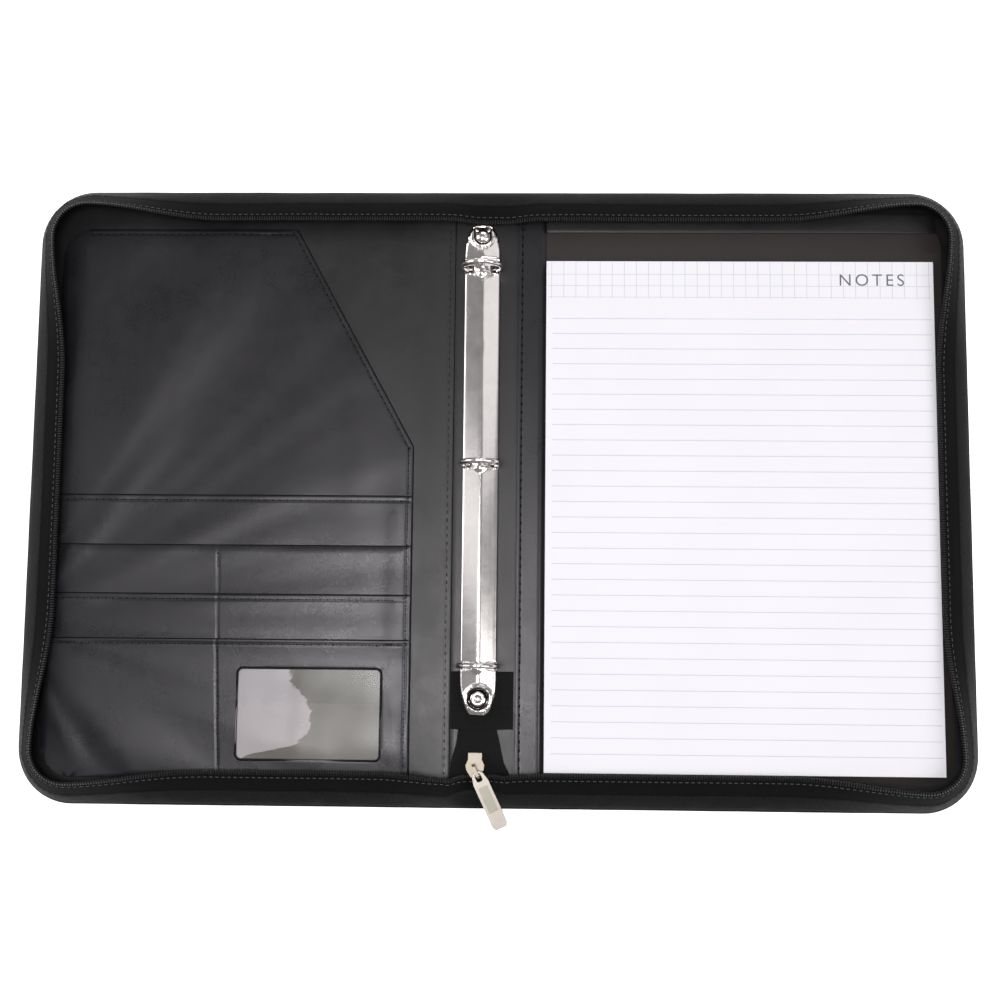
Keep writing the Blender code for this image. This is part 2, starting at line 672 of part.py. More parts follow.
cut_with(slider, cutter_from("slider_stem", stem), "UNION")

yaw = math.radians(PULLER_YAW)
forward = Vector((math.sin(yaw), -math.cos(yaw), 0))
across = Vector((math.cos(yaw), math.sin(yaw), 0))
pivot = Vector((PULLER_PIVOT_X, PULLER_PIVOT_Y, PULLER_PIVOT_Z))


def frame_prism(name, outline, centre, direction_u, direction_v, direction_w, low, high):
    """A plate whose outline lies along two directions and whose thickness runs along a third."""
    count = len(outline)
    vertices = []
    for level in (low, high):
        for u, v in outline:
            vertices.append(centre + direction_u * u + direction_v * v + direction_w * level)
    faces = [tuple(range(count)), tuple(range(count, 2 * count))]
    for i in range(count):
        j = (i + 1) % count
        faces.append((i, j, j + count, i + count))
    return closed_mesh(name, vertices, faces)


up = Vector((0, 0, 1))
bail_top = pivot.z + BAIL_RISE + BAIL_WIRE - slider_top
rear, front = BAIL_REACH
bail_outline = [(front, -BAIL_SINK), (front, bail_top - BAIL_EASE), (front - BAIL_EASE, bail_top)]
bail_outline += [(rear + BAIL_EASE, bail_top), (rear, bail_top - BAIL_EASE), (rear, -BAIL_SINK)]
rear += BAIL_WIRE
front -= BAIL_WIRE
ease = BAIL_EASE - BAIL_WIRE / 2
inner_top = bail_top - BAIL_WIRE
opening = [(front, BAIL_WIRE), (front, inner_top - ease), (front - ease, inner_top)]
opening += [(rear + ease, inner_top), (rear, inner_top - ease), (rear, BAIL_WIRE)]
bail_base = Vector((pivot.x, pivot.y, slider_top))
bail = frame_prism("slider_bail", bail_outline, bail_base, forward, up, across, -BAIL_HALF / 2, BAIL_HALF / 2)
cut_with(slider, cutter_from("slider_bail", bail), "UNION")
eye = frame_prism("bail_eye", opening, bail_base, forward, up, across, -CUT_REACH, CUT_REACH)
cut_with(slider, cutter_from("bail_eye", eye))

drop = math.radians(PULLER_DROP)
along = forward * math.cos(drop) - up * math.sin(drop)
normal = forward * math.sin(drop) + up * math.cos(drop)
puller_outline = []
for x, y in arc_points((0, 0), 1, 90, 270, 8):
    puller_outline.append((PULLER_HEAD_CENTRE + PULLER_HEAD[0] * x, PULLER_HEAD[1] * y))
tip = PULLER_LENGTH - PULLER_TIP
puller_outline += [(PULLER_NECK, -PULLER_HALF), (tip - PULLER_EASE, -PULLER_HALF)]
puller_outline += [(tip, -PULLER_HALF + PULLER_TIP), (tip, PULLER_HALF - PULLER_TIP)]
puller_outline += [(tip - PULLER_EASE, PULLER_HALF), (PULLER_NECK, PULLER_HALF)]
origin = Vector((0, 0, 0))
puller_mesh = frame_prism(
    "puller", puller_outline, origin, along, across, normal, -PULLER_THICKNESS / 2, PULLER_THICKNESS / 2)
puller = add_object("puller", puller_mesh, NICKEL, 0.3, 1.0)
puller.location = pivot
eyelet = rounded_outline(EYELET[0], EYELET[1], -EYELET[2], EYELET[2], (EYELET_CORNER,) * 4, 3)
eye_mesh = frame_prism("puller_eye", eyelet, origin, along, across, normal, -CUT_REACH, CUT_REACH)
recess = rounded_outline(RECESS[0], RECESS[1], -RECESS[2], RECESS[2], (RECESS_CORNER,) * 4, 3)
face = PULLER_THICKNESS / 2 - RECESS_DEPTH
recess_mesh = frame_prism("puller_recess", recess, origin, along, across, normal, face, CUT_REACH)
for name, mesh in (("puller_eye", eye_mesh), ("puller_recess", recess_mesh)):
    cutter = cutter_from(name, mesh)
    cutter.location = pivot
    cut_with(puller, cutter)
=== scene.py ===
import math

import bmesh
import bpy
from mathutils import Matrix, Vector, noise


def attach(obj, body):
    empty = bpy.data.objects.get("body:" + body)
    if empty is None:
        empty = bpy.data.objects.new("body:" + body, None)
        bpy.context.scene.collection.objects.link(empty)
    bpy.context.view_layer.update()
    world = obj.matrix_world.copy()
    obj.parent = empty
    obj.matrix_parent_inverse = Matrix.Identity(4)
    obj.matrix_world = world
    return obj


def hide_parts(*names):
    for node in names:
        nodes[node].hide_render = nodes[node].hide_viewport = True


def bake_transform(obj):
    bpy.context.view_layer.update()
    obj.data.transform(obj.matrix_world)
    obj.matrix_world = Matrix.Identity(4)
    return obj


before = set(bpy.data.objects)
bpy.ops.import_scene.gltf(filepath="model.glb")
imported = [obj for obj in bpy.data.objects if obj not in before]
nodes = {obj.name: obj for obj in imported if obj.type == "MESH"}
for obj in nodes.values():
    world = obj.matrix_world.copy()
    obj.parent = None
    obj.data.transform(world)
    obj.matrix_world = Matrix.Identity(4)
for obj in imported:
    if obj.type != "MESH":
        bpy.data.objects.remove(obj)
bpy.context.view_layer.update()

# ---- Sizes shared with the CAD part, metres ----
HALF_WIDTH = 0.255
HALF_HEIGHT = 0.168
HALF_SPINE = 0.024
CORNER_RADIUS = 0.030
WALL_INSET = 0.0010
WALL_FROM_FOLD = 0.0015
WALL_BASE = 0.0052
GUSSET_END = 0.0098
TAPE_START = 0.0101
TAPE_END = 0.0190
COIL_START = 0.0190
COIL_END = 0.0209
LEAN_SIDE = 66.0
LEAN_CORNER = 36.0
LEAN_BY_SLIDER = 52.0
LEAN_RUN = 0.075
SLIDER_RUN = 0.040
RING_X = -0.0090
RING_Y = (0.1230, 0.0150, -0.0930)
LINING_LOW = 0.0036
LINING_TOP = 0.0044


# ---- Materials ----
def new_material(name):
    material = bpy.data.materials.new(name)
    material.use_nodes = True
    tree = material.node_tree
    shader = tree.nodes["Principled BSDF"]
    return material, tree, shader


def add_node(tree, kind, **values):
    node = tree.nodes.new(kind)
    for key, value in values.items():
        setattr(node, key, value)
    return node


def place_of(tree, scale=(1, 1, 1), turn=0.0, source="Object"):
    """Texture place on the piece itself, in metres times scale."""
    where = add_node(tree, "ShaderNodeTexCoord")
    mapping = add_node(tree, "ShaderNodeMapping")
    mapping.inputs["Scale"].default_value = scale
    mapping.inputs["Rotation"].default_value = (0, 0, turn)
    tree.links.new(where.outputs[source], mapping.inputs["Vector"])
    return mapping.outputs["Vector"]


def noise_node(tree, vector, scale, detail=4.0, rough=0.55, distortion=0.0):
    node = add_node(tree, "ShaderNodeTexNoise")
    node.inputs["Scale"].default_value = scale
    node.inputs["Detail"].default_value = detail
    node.inputs["Roughness"].default_value = rough
    node.inputs["Distortion"].default_value = distortion
    tree.links.new(vector, node.inputs["Vector"])
    return node.outputs["Fac"]


def ramp(tree, value, stops):
    node = add_node(tree, "ShaderNodeValToRGB")
    band = node.color_ramp
    while len(band.elements) > 1:
        band.elements.remove(band.elements[-1])
    band.elements[0].position = stops[0][0]
    band.elements[0].color = (*stops[0][1], 1)
    for place, colour in stops[1:]:
        element = band.elements.new(place)
        element.color = (*colour, 1)
    tree.links.new(value, node.inputs["Fac"])
    return node.outputs["Color"]


def remap(tree, value, low, high, to_low, to_high):
    node = add_node(tree, "ShaderNodeMapRange")
    for key, number in (("From Min", low), ("From Max", high), ("To Min", to_low), ("To Max", to_high)):
        node.inputs[key].default_value = number
    tree.links.new(value, node.inputs["Value"])
    return node.outputs["Result"]


def math_node(tree, operation, first, second):
    node = add_node(tree, "ShaderNodeMath", operation=operation)
    for socket, value in zip(node.inputs, (first, second)):
        if isinstance(value, (int, float)):
            socket.default_value = value
        else:
            tree.links.new(value, socket)
    return node.outputs[0]


def add_bump(tree, shader, layers):
    """Stacks bump layers of (height, strength, distance)."""
    normal = None
    for height, strength, distance in layers:
        node = add_node(tree, "ShaderNodeBump")
        node.inputs["Strength"].default_value = strength
        node.inputs["Distance"].default_value = distance
        tree.links.new(height, node.inputs["Height"])
        if normal is not None:
            tree.links.new(normal, node.inputs["Normal"])
        normal = node.outputs["Normal"]
    tree.links.new(normal, shader.inputs["Normal"])


def scaled(colour, factor):
    return tuple(min(1.0, c * factor) for c in colour)


def leather(name, colour, rough, pebble, depth, specular=0.5, wrinkle=0.0, tint=(1, 1, 1)):
    """Imitation leather: pebble grain from cells and noise, mottled colour and gloss, and painted shade in the
    grain's creases.
    """
    material, tree, shader = new_material(name)
    place = place_of(tree)
    cells = add_node(tree, "ShaderNodeTexVoronoi", feature="DISTANCE_TO_EDGE")
    cells.inputs["Scale"].default_value = pebble
    warp = add_node(tree, "ShaderNodeTexNoise")
    warp.inputs["Scale"].default_value = pebble * 0.35
    warp.inputs["Detail"].default_value = 2
    tree.links.new(place, warp.inputs["Vector"])
    mixed = add_node(tree, "ShaderNodeVectorMath", operation="MULTIPLY_ADD")
    mixed.inputs[1].default_value = (0.0016, 0.0016, 0.0016)
    tree.links.new(warp.outputs["Color"], mixed.inputs[0])
    tree.links.new(place, mixed.inputs[2])
    tree.links.new(mixed.outputs[0], cells.inputs["Vector"])
    crease = remap(tree, cells.outputs["Distance"], 0.0, 0.16, 0.0, 1.0)
    fine = noise_node(tree, place, pebble * 3.1, 3.0, 0.6)
    broad = noise_node(tree, place, 13.0, 3.0, 0.55, 0.6)
    mottle = noise_node(tree, place, 85.0, 5.0, 0.6)
    blended = math_node(tree, "ADD", math_node(tree, "MULTIPLY", broad, 0.55),
        math_node(tree, "MULTIPLY", mottle, 0.45))
    tone = ramp(tree, blended, [
        (0.30, scaled(colour, 0.72)), (0.50, colour), (0.72, scaled(colour, 1.35)),
    ])
    # Painted shade: the base colour darkens toward the edges of the grain cells, where the bump sinks into
    # creases.
    dark = add_node(tree, "ShaderNodeMix", data_type="RGBA")
    tree.links.new(remap(tree, crease, 0.0, 1.0, 0.45, 0.0), dark.inputs["Factor"])
    tree.links.new(tone, dark.inputs["A"])
    dark.inputs["B"].default_value = (*scaled(colour, 0.35), 1)
    tree.links.new(dark.outputs["Result"], shader.inputs["Base Color"])
    rough_low = remap(tree, blended, 0.3, 0.7, rough - 0.05, rough + 0.07)
    rough_cell = remap(tree, crease, 0.0, 1.0, 0.14, 0.0)
    tree.links.new(math_node(tree, "ADD", rough_low, rough_cell), shader.inputs["Roughness"])
    shader.inputs["Specular IOR Level"].default_value = specular
    shader.inputs["Specular Tint"].default_value = (*tint, 1)
    layers = [(crease, depth, 0.00012), (fine, depth * 0.7, 0.00007)]
    if wrinkle > 0:
        folds = noise_node(tree, place, 55.0, 3.0, 0.5, 1.2)
        layers.insert(0, (folds, wrinkle, 0.0011))
    add_bump(tree, shader, layers)
    return material


def woven(name, colour, along, across, depth=0.7, specular=0.25, rough=0.9):
    """Woven tape: warp and weft ribs from the piece's own length and width, in metres, with painted shade in
    the weave's hollows and painted highlight on its ribs.
    """
    material, tree, shader = new_material(name)
    place = place_of(tree, source="UV")
    heights = []
    for axis, pitch in (("X", along), ("Y", across)):
        wave = add_node(tree, "ShaderNodeTexWave", wave_type="BANDS", bands_direction=axis,
            wave_profile="SIN")
        wave.inputs["Scale"].default_value = 0.314 / pitch
        wave.inputs["Distortion"].default_value = 0.25
        wave.inputs["Detail"].default_value = 1.0
        tree.links.new(place, wave.inputs["Vector"])
        heights.append(wave.outputs["Fac"])
    weave = math_node(tree, "ADD", math_node(tree, "MULTIPLY", heights[0], 0.65),
        math_node(tree, "MULTIPLY", heights[1], 0.35))
    fuzz = noise_node(tree, place, 900.0, 3.0, 0.7)
    mottle = noise_node(tree, place_of(tree), 60.0, 4.0, 0.6)
    both = math_node(tree, "MULTIPLY", weave, remap(tree, mottle, 0.3, 0.7, 0.8, 1.15))
    # Painted shade and highlight: the colour follows the weave's bump height, darker in the hollows and lighter
    # on the ribs.
    tone = ramp(tree, both, [(0.0, scaled(colour, 0.45)), (0.5, colour), (1.0, scaled(colour, 1.75))])
    tree.links.new(tone, shader.inputs["Base Color"])
    shader.inputs["Roughness"].default_value = rough
    shader.inputs["Specular IOR Level"].default_value = specular
    shader.inputs["Sheen Weight"].default_value = 0.05
    shader.inputs["Sheen Roughness"].default_value = 0.5
    add_bump(tree, shader, [(weave, depth, 0.00022), (fuzz, depth * 0.5, 0.00008)])
    return material


def thread(name, colour, rough=0.75):
    """Twisted sewing thread, with painted shade and highlight along its twist."""
    material, tree, shader = new_material(name)
    place = place_of(tree, (1, 1, 1), 0.7)
    wave = add_node(tree, "ShaderNodeTexWave", wave_type="BANDS", bands_direction="DIAGONAL")
    wave.inputs["Scale"].default_value = 900.0
    tree.links.new(place, wave.inputs["Vector"])
    # Painted shade and highlight: the bands that bump the twist also make its grooves darker and its crests
    # lighter.
    tone = ramp(tree, wave.outputs["Fac"], [(0.0, scaled(colour, 0.6)), (1.0, scaled(colour, 1.25))])
    tree.links.new(tone, shader.inputs["Base Color"])
    shader.inputs["Roughness"].default_value = rough
    shader.inputs["Specular IOR Level"].default_value = 0.3
    add_bump(tree, shader, [(wave.outputs["Fac"], 0.4, 0.0001)])
    return material


def paper_stock(name, colour, specular=0.25, fleck=0.03):
    """Paper or card: faint fibres and cloudiness."""
    material, tree, shader = new_material(name)
    place = place_of(tree)
    cloud = noise_node(tree, place, 18.0, 4.0, 0.6)
    fibre = noise_node(tree, place_of(tree, (1.0, 3.2, 1.0), 0.4), 700.0, 4.0, 0.7)
    both = math_node(tree, "ADD", math_node(tree, "MULTIPLY", cloud, 0.5),
        math_node(tree, "MULTIPLY", fibre, 0.5))
    tone = ramp(tree, both,
        [(0.30, scaled(colour, 1 - fleck)), (0.55, colour), (0.75, scaled(colour, 1 + fleck * 0.5))])
    tree.links.new(tone, shader.inputs["Base Color"])
    tree.links.new(remap(tree, fibre, 0.2, 0.8, 0.72, 0.88), shader.inputs["Roughness"])
    shader.inputs["Specular IOR Level"].default_value = specular
    add_bump(tree, shader, [(fibre, 0.25, 0.00006), (cloud, 0.15, 0.0006)])
    return material


def metal(name, colour, rough, spread, brush=0.0, brush_turn=0.0):
    """Plated metal: faint smears, fine scratches, and brushing if asked for."""
    material, tree, shader = new_material(name)
    place = place_of(tree)
    smear = noise_node(tree, place, 120.0, 5.0, 0.65, 0.8)
    tone = ramp(tree, smear, [(0.3, scaled(colour, 0.93)), (0.7, scaled(colour, 1.04))])
    tree.links.new(tone, shader.inputs["Base Color"])
    shader.inputs["Metallic"].default_value = 1.0
    tree.links.new(remap(tree, smear, 0.3, 0.75, rough, rough + spread), shader.inputs["Roughness"])
    scratch = noise_node(tree, place_of(tree, (1.0, 0.03, 1.0), brush_turn), 1800.0, 2.0, 0.6)
    layers = [(smear, 0.06, 0.0003)]
    if brush > 0:
        layers.append((scratch, brush, 0.00003))
    add_bump(tree, shader, layers)
    return material


OUTER = leather("outer_leather", (0.0052, 0.0052, 0.0054), 0.50, 900.0, 0.42, 0.26, 0.10)
GUSSET = leather("gusset_leather", (0.0040, 0.0040, 0.0042), 0.56, 1000.0, 0.40, 0.18, 0.30)
INNER = leather("inner_leather", (0.0090, 0.0080, 0.0084), 0.33, 1500.0, 0.09, 0.54, 0.07,
    (1.0, 0.975, 0.975))
POCKET = leather("pocket_leather", (0.0052, 0.0044, 0.0064), 0.28, 1600.0, 0.07, 0.54, 0.06,
    (0.985, 0.955, 1.0))
# Painted shade: near-black leather for the dark strips in the gaps at pocket mouths and edges, and for the
# needle holes, where only shade lies.
GAP_SHADE_PAINT = leather("painted_gap_shade", (0.0030, 0.0028, 0.0030), 0.60, 1200.0, 0.10, 0.10)
TAPE = woven("zip_tape_weave", (0.0034, 0.0034, 0.0037), 0.00055, 0.00090, 0.5, 0.10)
RIBBED = woven("ribbed_tab_weave", (0.0075, 0.0070, 0.0075), 0.00060, 0.00125, 0.6, 0.16)
BLACK_THREAD = thread("black_thread", (0.0090, 0.0090, 0.0095))
GREY_THREAD = thread("grey_thread", (0.090, 0.088, 0.090))
PAPER = paper_stock("writing_paper", (0.86, 0.84, 0.885))
PAPER_EDGE = paper_stock("pad_block_paper", (0.80, 0.78, 0.80), 0.2, 0.06)
BACKING = paper_stock("backing_card", (0.030, 0.0235, 0.0225), 0.40, 0.16)
BOARD = paper_stock("binding_board", (0.20, 0.15, 0.11), 0.2, 0.2)
CARD = paper_stock("insert_card", (0.47, 0.385, 0.345), 0.3, 0.05)
CARD_SHADE = paper_stock("window_back", (0.148, 0.144, 0.160), 0.3, 0.08)
LINE_INK = paper_stock("ruled_line_ink", (0.60, 0.63, 0.74), 0.2, 0.05)
GRID_INK = paper_stock("grid_line_ink", (0.57, 0.60, 0.66), 0.2, 0.05)
HEAD_INK = paper_stock("heading_ink", (0.150, 0.150, 0.165), 0.3, 0.06)
CHROME = metal("bright_chrome", (0.87, 0.82, 0.81), 0.15, 0.03)
# Painted shade: a darker copy of the bright chrome, for the ring blades that sit in shade under the sheath.
PAINTED_SHADE_CHROME = metal("painted_shade_chrome", (0.30, 0.28, 0.27), 0.30, 0.08)
NICKEL = metal("satin_nickel", (0.58, 0.53, 0.475), 0.40, 0.06, 0.2, 0.44)
WORN_NICKEL = metal("worn_nickel", (0.43, 0.405, 0.34), 0.38, 0.06, 0.2, 0.44)
SLIDER_NICKEL = metal("cast_nickel", (0.36, 0.315, 0.265), 0.46, 0.05)


def coil_material():
    material, tree, shader = new_material("coil_nylon")
    place = place_of(tree)
    mottle = noise_node(tree, place, 300.0, 4.0, 0.6)
    tone = ramp(tree, mottle, [(0.3, (0.003, 0.003, 0.0033)), (0.7, (0.009, 0.009, 0.0095))])
    tree.links.new(tone, shader.inputs["Base Color"])
    tree.links.new(remap(tree, mottle, 0.3, 0.7, 0.32, 0.5), shader.inputs["Roughness"])
    shader.inputs["Specular IOR Level"].default_value = 0.4
    add_bump(tree, shader, [(mottle, 0.2, 0.0001)])
    return material


def film_material():
    """Clear vinyl: see-through and hazy, with a painted reflection over its left half that makes it lighter and
    a little more see-through.
    """
    material, tree, shader = new_material("clear_vinyl")
    place = place_of(tree)
    haze = noise_node(tree, place, 45.0, 4.0, 0.6, 0.5)
    split = add_node(tree, "ShaderNodeSeparateXYZ")
    tree.links.new(place, split.inputs[0])
    down = remap(tree, split.outputs["Y"], -0.0955, -0.1431, 0.0, 1.0)
    shape = ramp(tree, down, [
        (0.0, (0.36,) * 3), (0.14, (0.37,) * 3), (0.24, (0.42,) * 3), (0.34, (0.485,) * 3),
        (0.5, (0.525,) * 3),
        (0.7, (0.505,) * 3), (0.83, (0.43,) * 3), (0.90, (0.24,) * 3), (0.95, (0.09,) * 3),
        (1.0, (0.02,) * 3),
    ])
    wander = noise_node(tree, place, 210.0, 3.0, 0.6, 0.6)
    # Painted reflection: a mask over the film's left half, out to a wavy border, where the film is lighter as
    # if it mirrored a lamp.
    share = remap(tree, split.outputs["X"], -0.1369, -0.0608, 0.0, 1.0)
    edge = math_node(tree, "ADD", shape,
        math_node(tree, "MULTIPLY", math_node(tree, "SUBTRACT", wander, 0.5), 0.10))
    painted_reflection = remap(tree, math_node(tree, "SUBTRACT", share, edge), -0.012, 0.006, 1.0, 0.0)
    clear = ramp(tree, haze, [(0.3, (0.160, 0.148, 0.134)), (0.7, (0.185, 0.172, 0.158))])
    mixed = add_node(tree, "ShaderNodeMix", data_type="RGBA")
    tree.links.new(painted_reflection, mixed.inputs["Factor"])
    tree.links.new(clear, mixed.inputs["A"])
    # The painted reflection's light colour.
    mixed.inputs["B"].default_value = (0.530, 0.490, 0.510, 1)
    tree.links.new(mixed.outputs["Result"], shader.inputs["Base Color"])
    tree.links.new(remap(tree, painted_reflection, 0.0, 1.0, 0.60, 0.50), shader.inputs["Alpha"])
    tree.links.new(remap(tree, haze, 0.3, 0.7, 0.22, 0.30), shader.inputs["Roughness"])
    shader.inputs["Specular IOR Level"].default_value = 0.5
    ripple = noise_node(tree, place, 60.0, 2.0, 0.5, 0.8)
    add_bump(tree, shader, [(ripple, 0.12, 0.0008)])
    return material


COIL = coil_material()
FILM = film_material()


# ---- Mesh helpers ----
def smooth_step(value):
    value = min(1.0, max(0.0, value))
    return value * value * (3 - 2 * value)


def finish_mesh(mesh, sharp=38.0):
    for face in mesh.polygons:
        face.use_smooth = True
    mesh.set_sharp_from_angle(angle=math.radians(sharp))


def link(name, mesh, material):
    thing = bpy.data.objects.new(name, mesh)
    bpy.context.scene.collection.objects.link(thing)
    if material is not None:
        mesh.materials.append(material)
    return thing


def solid(name, vertices, faces, material, sharp=38.0, uvs=None):
    """A mesh object from vertices and faces, normals outward."""
    mesh = bpy.data.meshes.new(name)
    mesh.from_pydata([tuple(v) for v in vertices], [], faces)
    if uvs is not None:
        layer = mesh.uv_layers.new(name="length_width")
        for loop in mesh.loops:
            layer.data[loop.index].uv = uvs[loop.vertex_index]
    shape = bmesh.new()
    shape.from_mesh(mesh)
    bmesh.ops.recalc_face_normals(shape, faces=shape.faces)
    shape.to_mesh(mesh)
    shape.free()
    finish_mesh(mesh, sharp)
    return link(name, mesh, material)


def baked(thing, sharp=38.0):
    """Applies the piece's modifiers."""
    bpy.context.view_layer.update()
    graph = bpy.context.evaluated_depsgraph_get()
    mesh = bpy.data.meshes.new_from_object(thing.evaluated_get(graph))
    thing.modifiers.clear()
    old = thing.data
    thing.data = mesh
    mesh.name = thing.name
    bpy.data.meshes.remove(old)
    finish_mesh(mesh, sharp)
    return thing


def bevelled(thing, width, segments=2, angle=50.0, sharp=38.0):
    ease = thing.modifiers.new("ease", "BEVEL")
    ease.width = width
    ease.segments = segments
    ease.limit_method = "ANGLE"
    ease.angle_limit = math.radians(angle)
    return baked(thing, sharp)


def place_piece(thing, body, slot, *replaced):
    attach(thing, body)
    if replaced:
        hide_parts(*replaced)
    return thing


def bend_piece(thing, first, second, start_x, end_x, slot, *replaced):
    """Bakes the piece's transform into its mesh and hides the CAD nodes it replaces."""
    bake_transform(thing)
    if replaced:
        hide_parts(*replaced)
    return thing


def arc_points(centre, radius, start, end, steps):
    points = []
    for step in range(steps + 1):
        angle = math.radians(start + (end - start) * step / steps)
        points.append((centre[0] + radius * math.cos(angle), centre[1] + radius * math.sin(angle)))
    return points


def rounded_outline(left, right, bottom, top, radii, steps=10):
    """A rectangle's outline with its own radius at the bottom right, top right, top left and bottom left."""
    corners = (
        ((right, bottom), (-1, 1), 270), ((right, top), (-1, -1), 0),
        ((left, top), (1, -1), 90), ((left, bottom), (1, 1), 180),
    )
    points = []
    for (corner, towards, start), radius in zip(corners, radii):
        if radius <= 0:
            points.append(corner)
            continue
        centre = (corner[0] + towards[0] * radius, corner[1] + towards[1] * radius)
        points += arc_points(centre, radius, start, start + 90, steps)
    return points


def flat_fill(outlines, cell, cuts):
    """Triangles that fill the first outline, less the others, cut into a fine grid."""
    shape = bmesh.new()
    edges = []
    for outline in outlines:
        ring = [shape.verts.new((x, y, 0)) for x, y in outline]
        edges += [shape.edges.new((ring[i], ring[(i + 1) % len(ring)])) for i in range(len(ring))]
    bmesh.ops.triangle_fill(shape, use_beauty=True, use_dissolve=False, edges=edges)
    xs = [x for x, y in outlines[0]]
    ys = [y for x, y in outlines[0]]
    planes = []
    for axis, low, high in ((0, min(xs), max(xs)), (1, min(ys), max(ys))):
        count = max(1, round((high - low) / cell[axis]))
        for i in range(1, count):
            spot = low + (high - low) * i / count
            point = (spot, 0, 0) if axis == 0 else (0, spot, 0)
            planes.append((point, (1, 0, 0) if axis == 0 else (0, 1, 0)))
    planes += cuts
    for point, normal in planes:
        geometry = shape.verts[:] + shape.edges[:] + shape.faces[:]
        bmesh.ops.bisect_plane(shape, geom=geometry, dist=0.0000004, plane_co=point, plane_no=normal)
    return shape


def panel(name, outlines, thickness, height, material, cell=(0.005, 0.005), cuts=(), edge=0.0002,
        sharp=38.0):
    """A thin sheet whose underside lies at height(x, y), its rim eased."""
    shape = flat_fill(outlines, cell, list(cuts))
    flat = [(v.co.x, v.co.y) for v in shape.verts]
    shape.verts.index_update()
    faces = [[v.index for v in f.verts] for f in shape.faces]
    rim = [[v.index for v in e.verts] for e in shape.edges if len(e.link_faces) == 1]
    shape.free()
    count = len(flat)
    low = [(x, y, height(x, y)) for x, y in flat]
    high = [(x, y, z + thickness) for x, y, z in low]
    all_faces = [[i + count for i in f] for f in faces] + [f[::-1] for f in faces]
    all_faces += [[a, b, b + count, a + count] for a, b in rim]
    thing = solid(name, low + high, all_faces, material, sharp)
    uv = thing.data.uv_layers.new(name="length_width")
    for loop in thing.data.loops:
        spot = thing.data.vertices[loop.vertex_index].co
        uv.data[loop.index].uv = (spot.x, spot.y)
    if edge > 0:
        bevelled(thing, edge, 2, 55.0, sharp)
    return thing


def cutter(name, outline, low, high):
    """A hidden prism for a Boolean."""
    count = len(outline)
    vertices = [(x, y, low) for x, y in outline] + [(x, y, high) for x, y in outline]
    faces = [tuple(range(count))[::-1], tuple(range(count, 2 * count))]
    faces += [(i, (i + 1) % count, (i + 1) % count + count, i + count) for i in range(count)]
    return solid(name, vertices, faces, None)


def turned(name, profile, centre, material, steps=48, stretch=1.0):
    """A solid of revolution about Z, from radius and height pairs that start and end on the axis."""
    vertices = []
    rings = []
    for radius, z in profile:
        if radius <= 0:
            rings.append([len(vertices)])
            vertices.append((centre[0], centre[1], z))
            continue
        ring = []
        for step in range(steps):
            angle = 2 * math.pi * step / steps
            ring.append(len(vertices))
            vertices.append((centre[0] + radius * math.cos(angle),
                centre[1] + stretch * radius * math.sin(angle), z))
        rings.append(ring)
    faces = []
    for before, after in zip(rings, rings[1:]):
        for i in range(steps):
            j = (i + 1) % steps
            if len(before) == 1:
                faces.append((before[0], after[i], after[j]))
            elif len(after) == 1:
                faces.append((before[i], before[j], after[0]))
            else:
                faces.append((before[i], before[j], after[j], after[i]))
    return solid(name, vertices, faces, material)


# ---- How the soft sheets lie ----
def front_rise(x, y):
    """How far the front cover's sheets stand off the board: soft ridges that fan out from the lower left."""
    edge = min((x + 0.252) / 0.03, (-0.0262 - x) / 0.025, (0.163 - y) / 0.03, (y + 0.163) / 0.03)
    free = smooth_step(edge)
    away_x = x + 0.262
    away_y = y + 0.075
    angle = math.atan2(away_y, away_x)
    reach = math.hypot(away_x, away_y)
    fan = noise.noise(Vector((angle * 4.2, reach * 5.0, 3.1)))
    fine_fan = noise.noise(Vector((angle * 11.0, reach * 8.0, 8.4)))
    slack = noise.noise(Vector((x * 9.0, y * 9.0, 5.5)))
    rise = 0.00130 + 0.00150 * fan + 0.00060 * fine_fan + 0.00060 * slack
    by_edge = smooth_step((x + 0.105) / 0.05)
    rise += 0.00048 * by_edge * noise.noise(Vector((x * 58.0, y * 20.0, 2.2)))
    rise += 0.00035 * math.exp(-((x + 0.0535) / 0.0030) ** 2) * smooth_step((0.02 - y) / 0.04)
    return max(0.0, rise) * free


def back_rise(x, y):
    return 0.00012 * (1 + noise.noise(Vector((x * 14.0, y * 14.0, 9.0))))


def spine_rise(x, y):
    return 0.00016 * (1 + noise.noise(Vector((x * 40.0, y * 16.0, 4.0))))


class Seams:
    """Stitch lines: each presses a shallow groove in its sheet and carries a run of thread."""

    def __init__(self, lines, depth=0.00022, width=0.0008):
        self.lines = lines
        self.depth = depth
        self.width = width

    def groove(self, x, y):
        drop = 0.0
        for (ax, ay), (bx, by) in self.lines:
            length = math.hypot(bx - ax, by - ay)
            ux, uy = (bx - ax) / length, (by - ay) / length
            along = (x - ax) * ux + (y - ay) * uy
            if along < -0.0005 or along > length + 0.0005:
                continue
            off = abs((x - ax) * uy - (y - ay) * ux)
            if off < self.width:
                drop = max(drop, self.depth * (1 - off / self.width))
        return -drop

    def cuts(self):
        planes = []
        for (ax, ay), (bx, by) in self.lines:
            length = math.hypot(bx - ax, by - ay)
            nx, ny = -(by - ay) / length, (bx - ax) / length
            for shift in (-1.5 * self.width, -self.width, 0.0, self.width, 1.5 * self.width):
                planes.append(((ax + nx * shift, ay + ny * shift, 0), (nx, ny, 0)))
        return planes


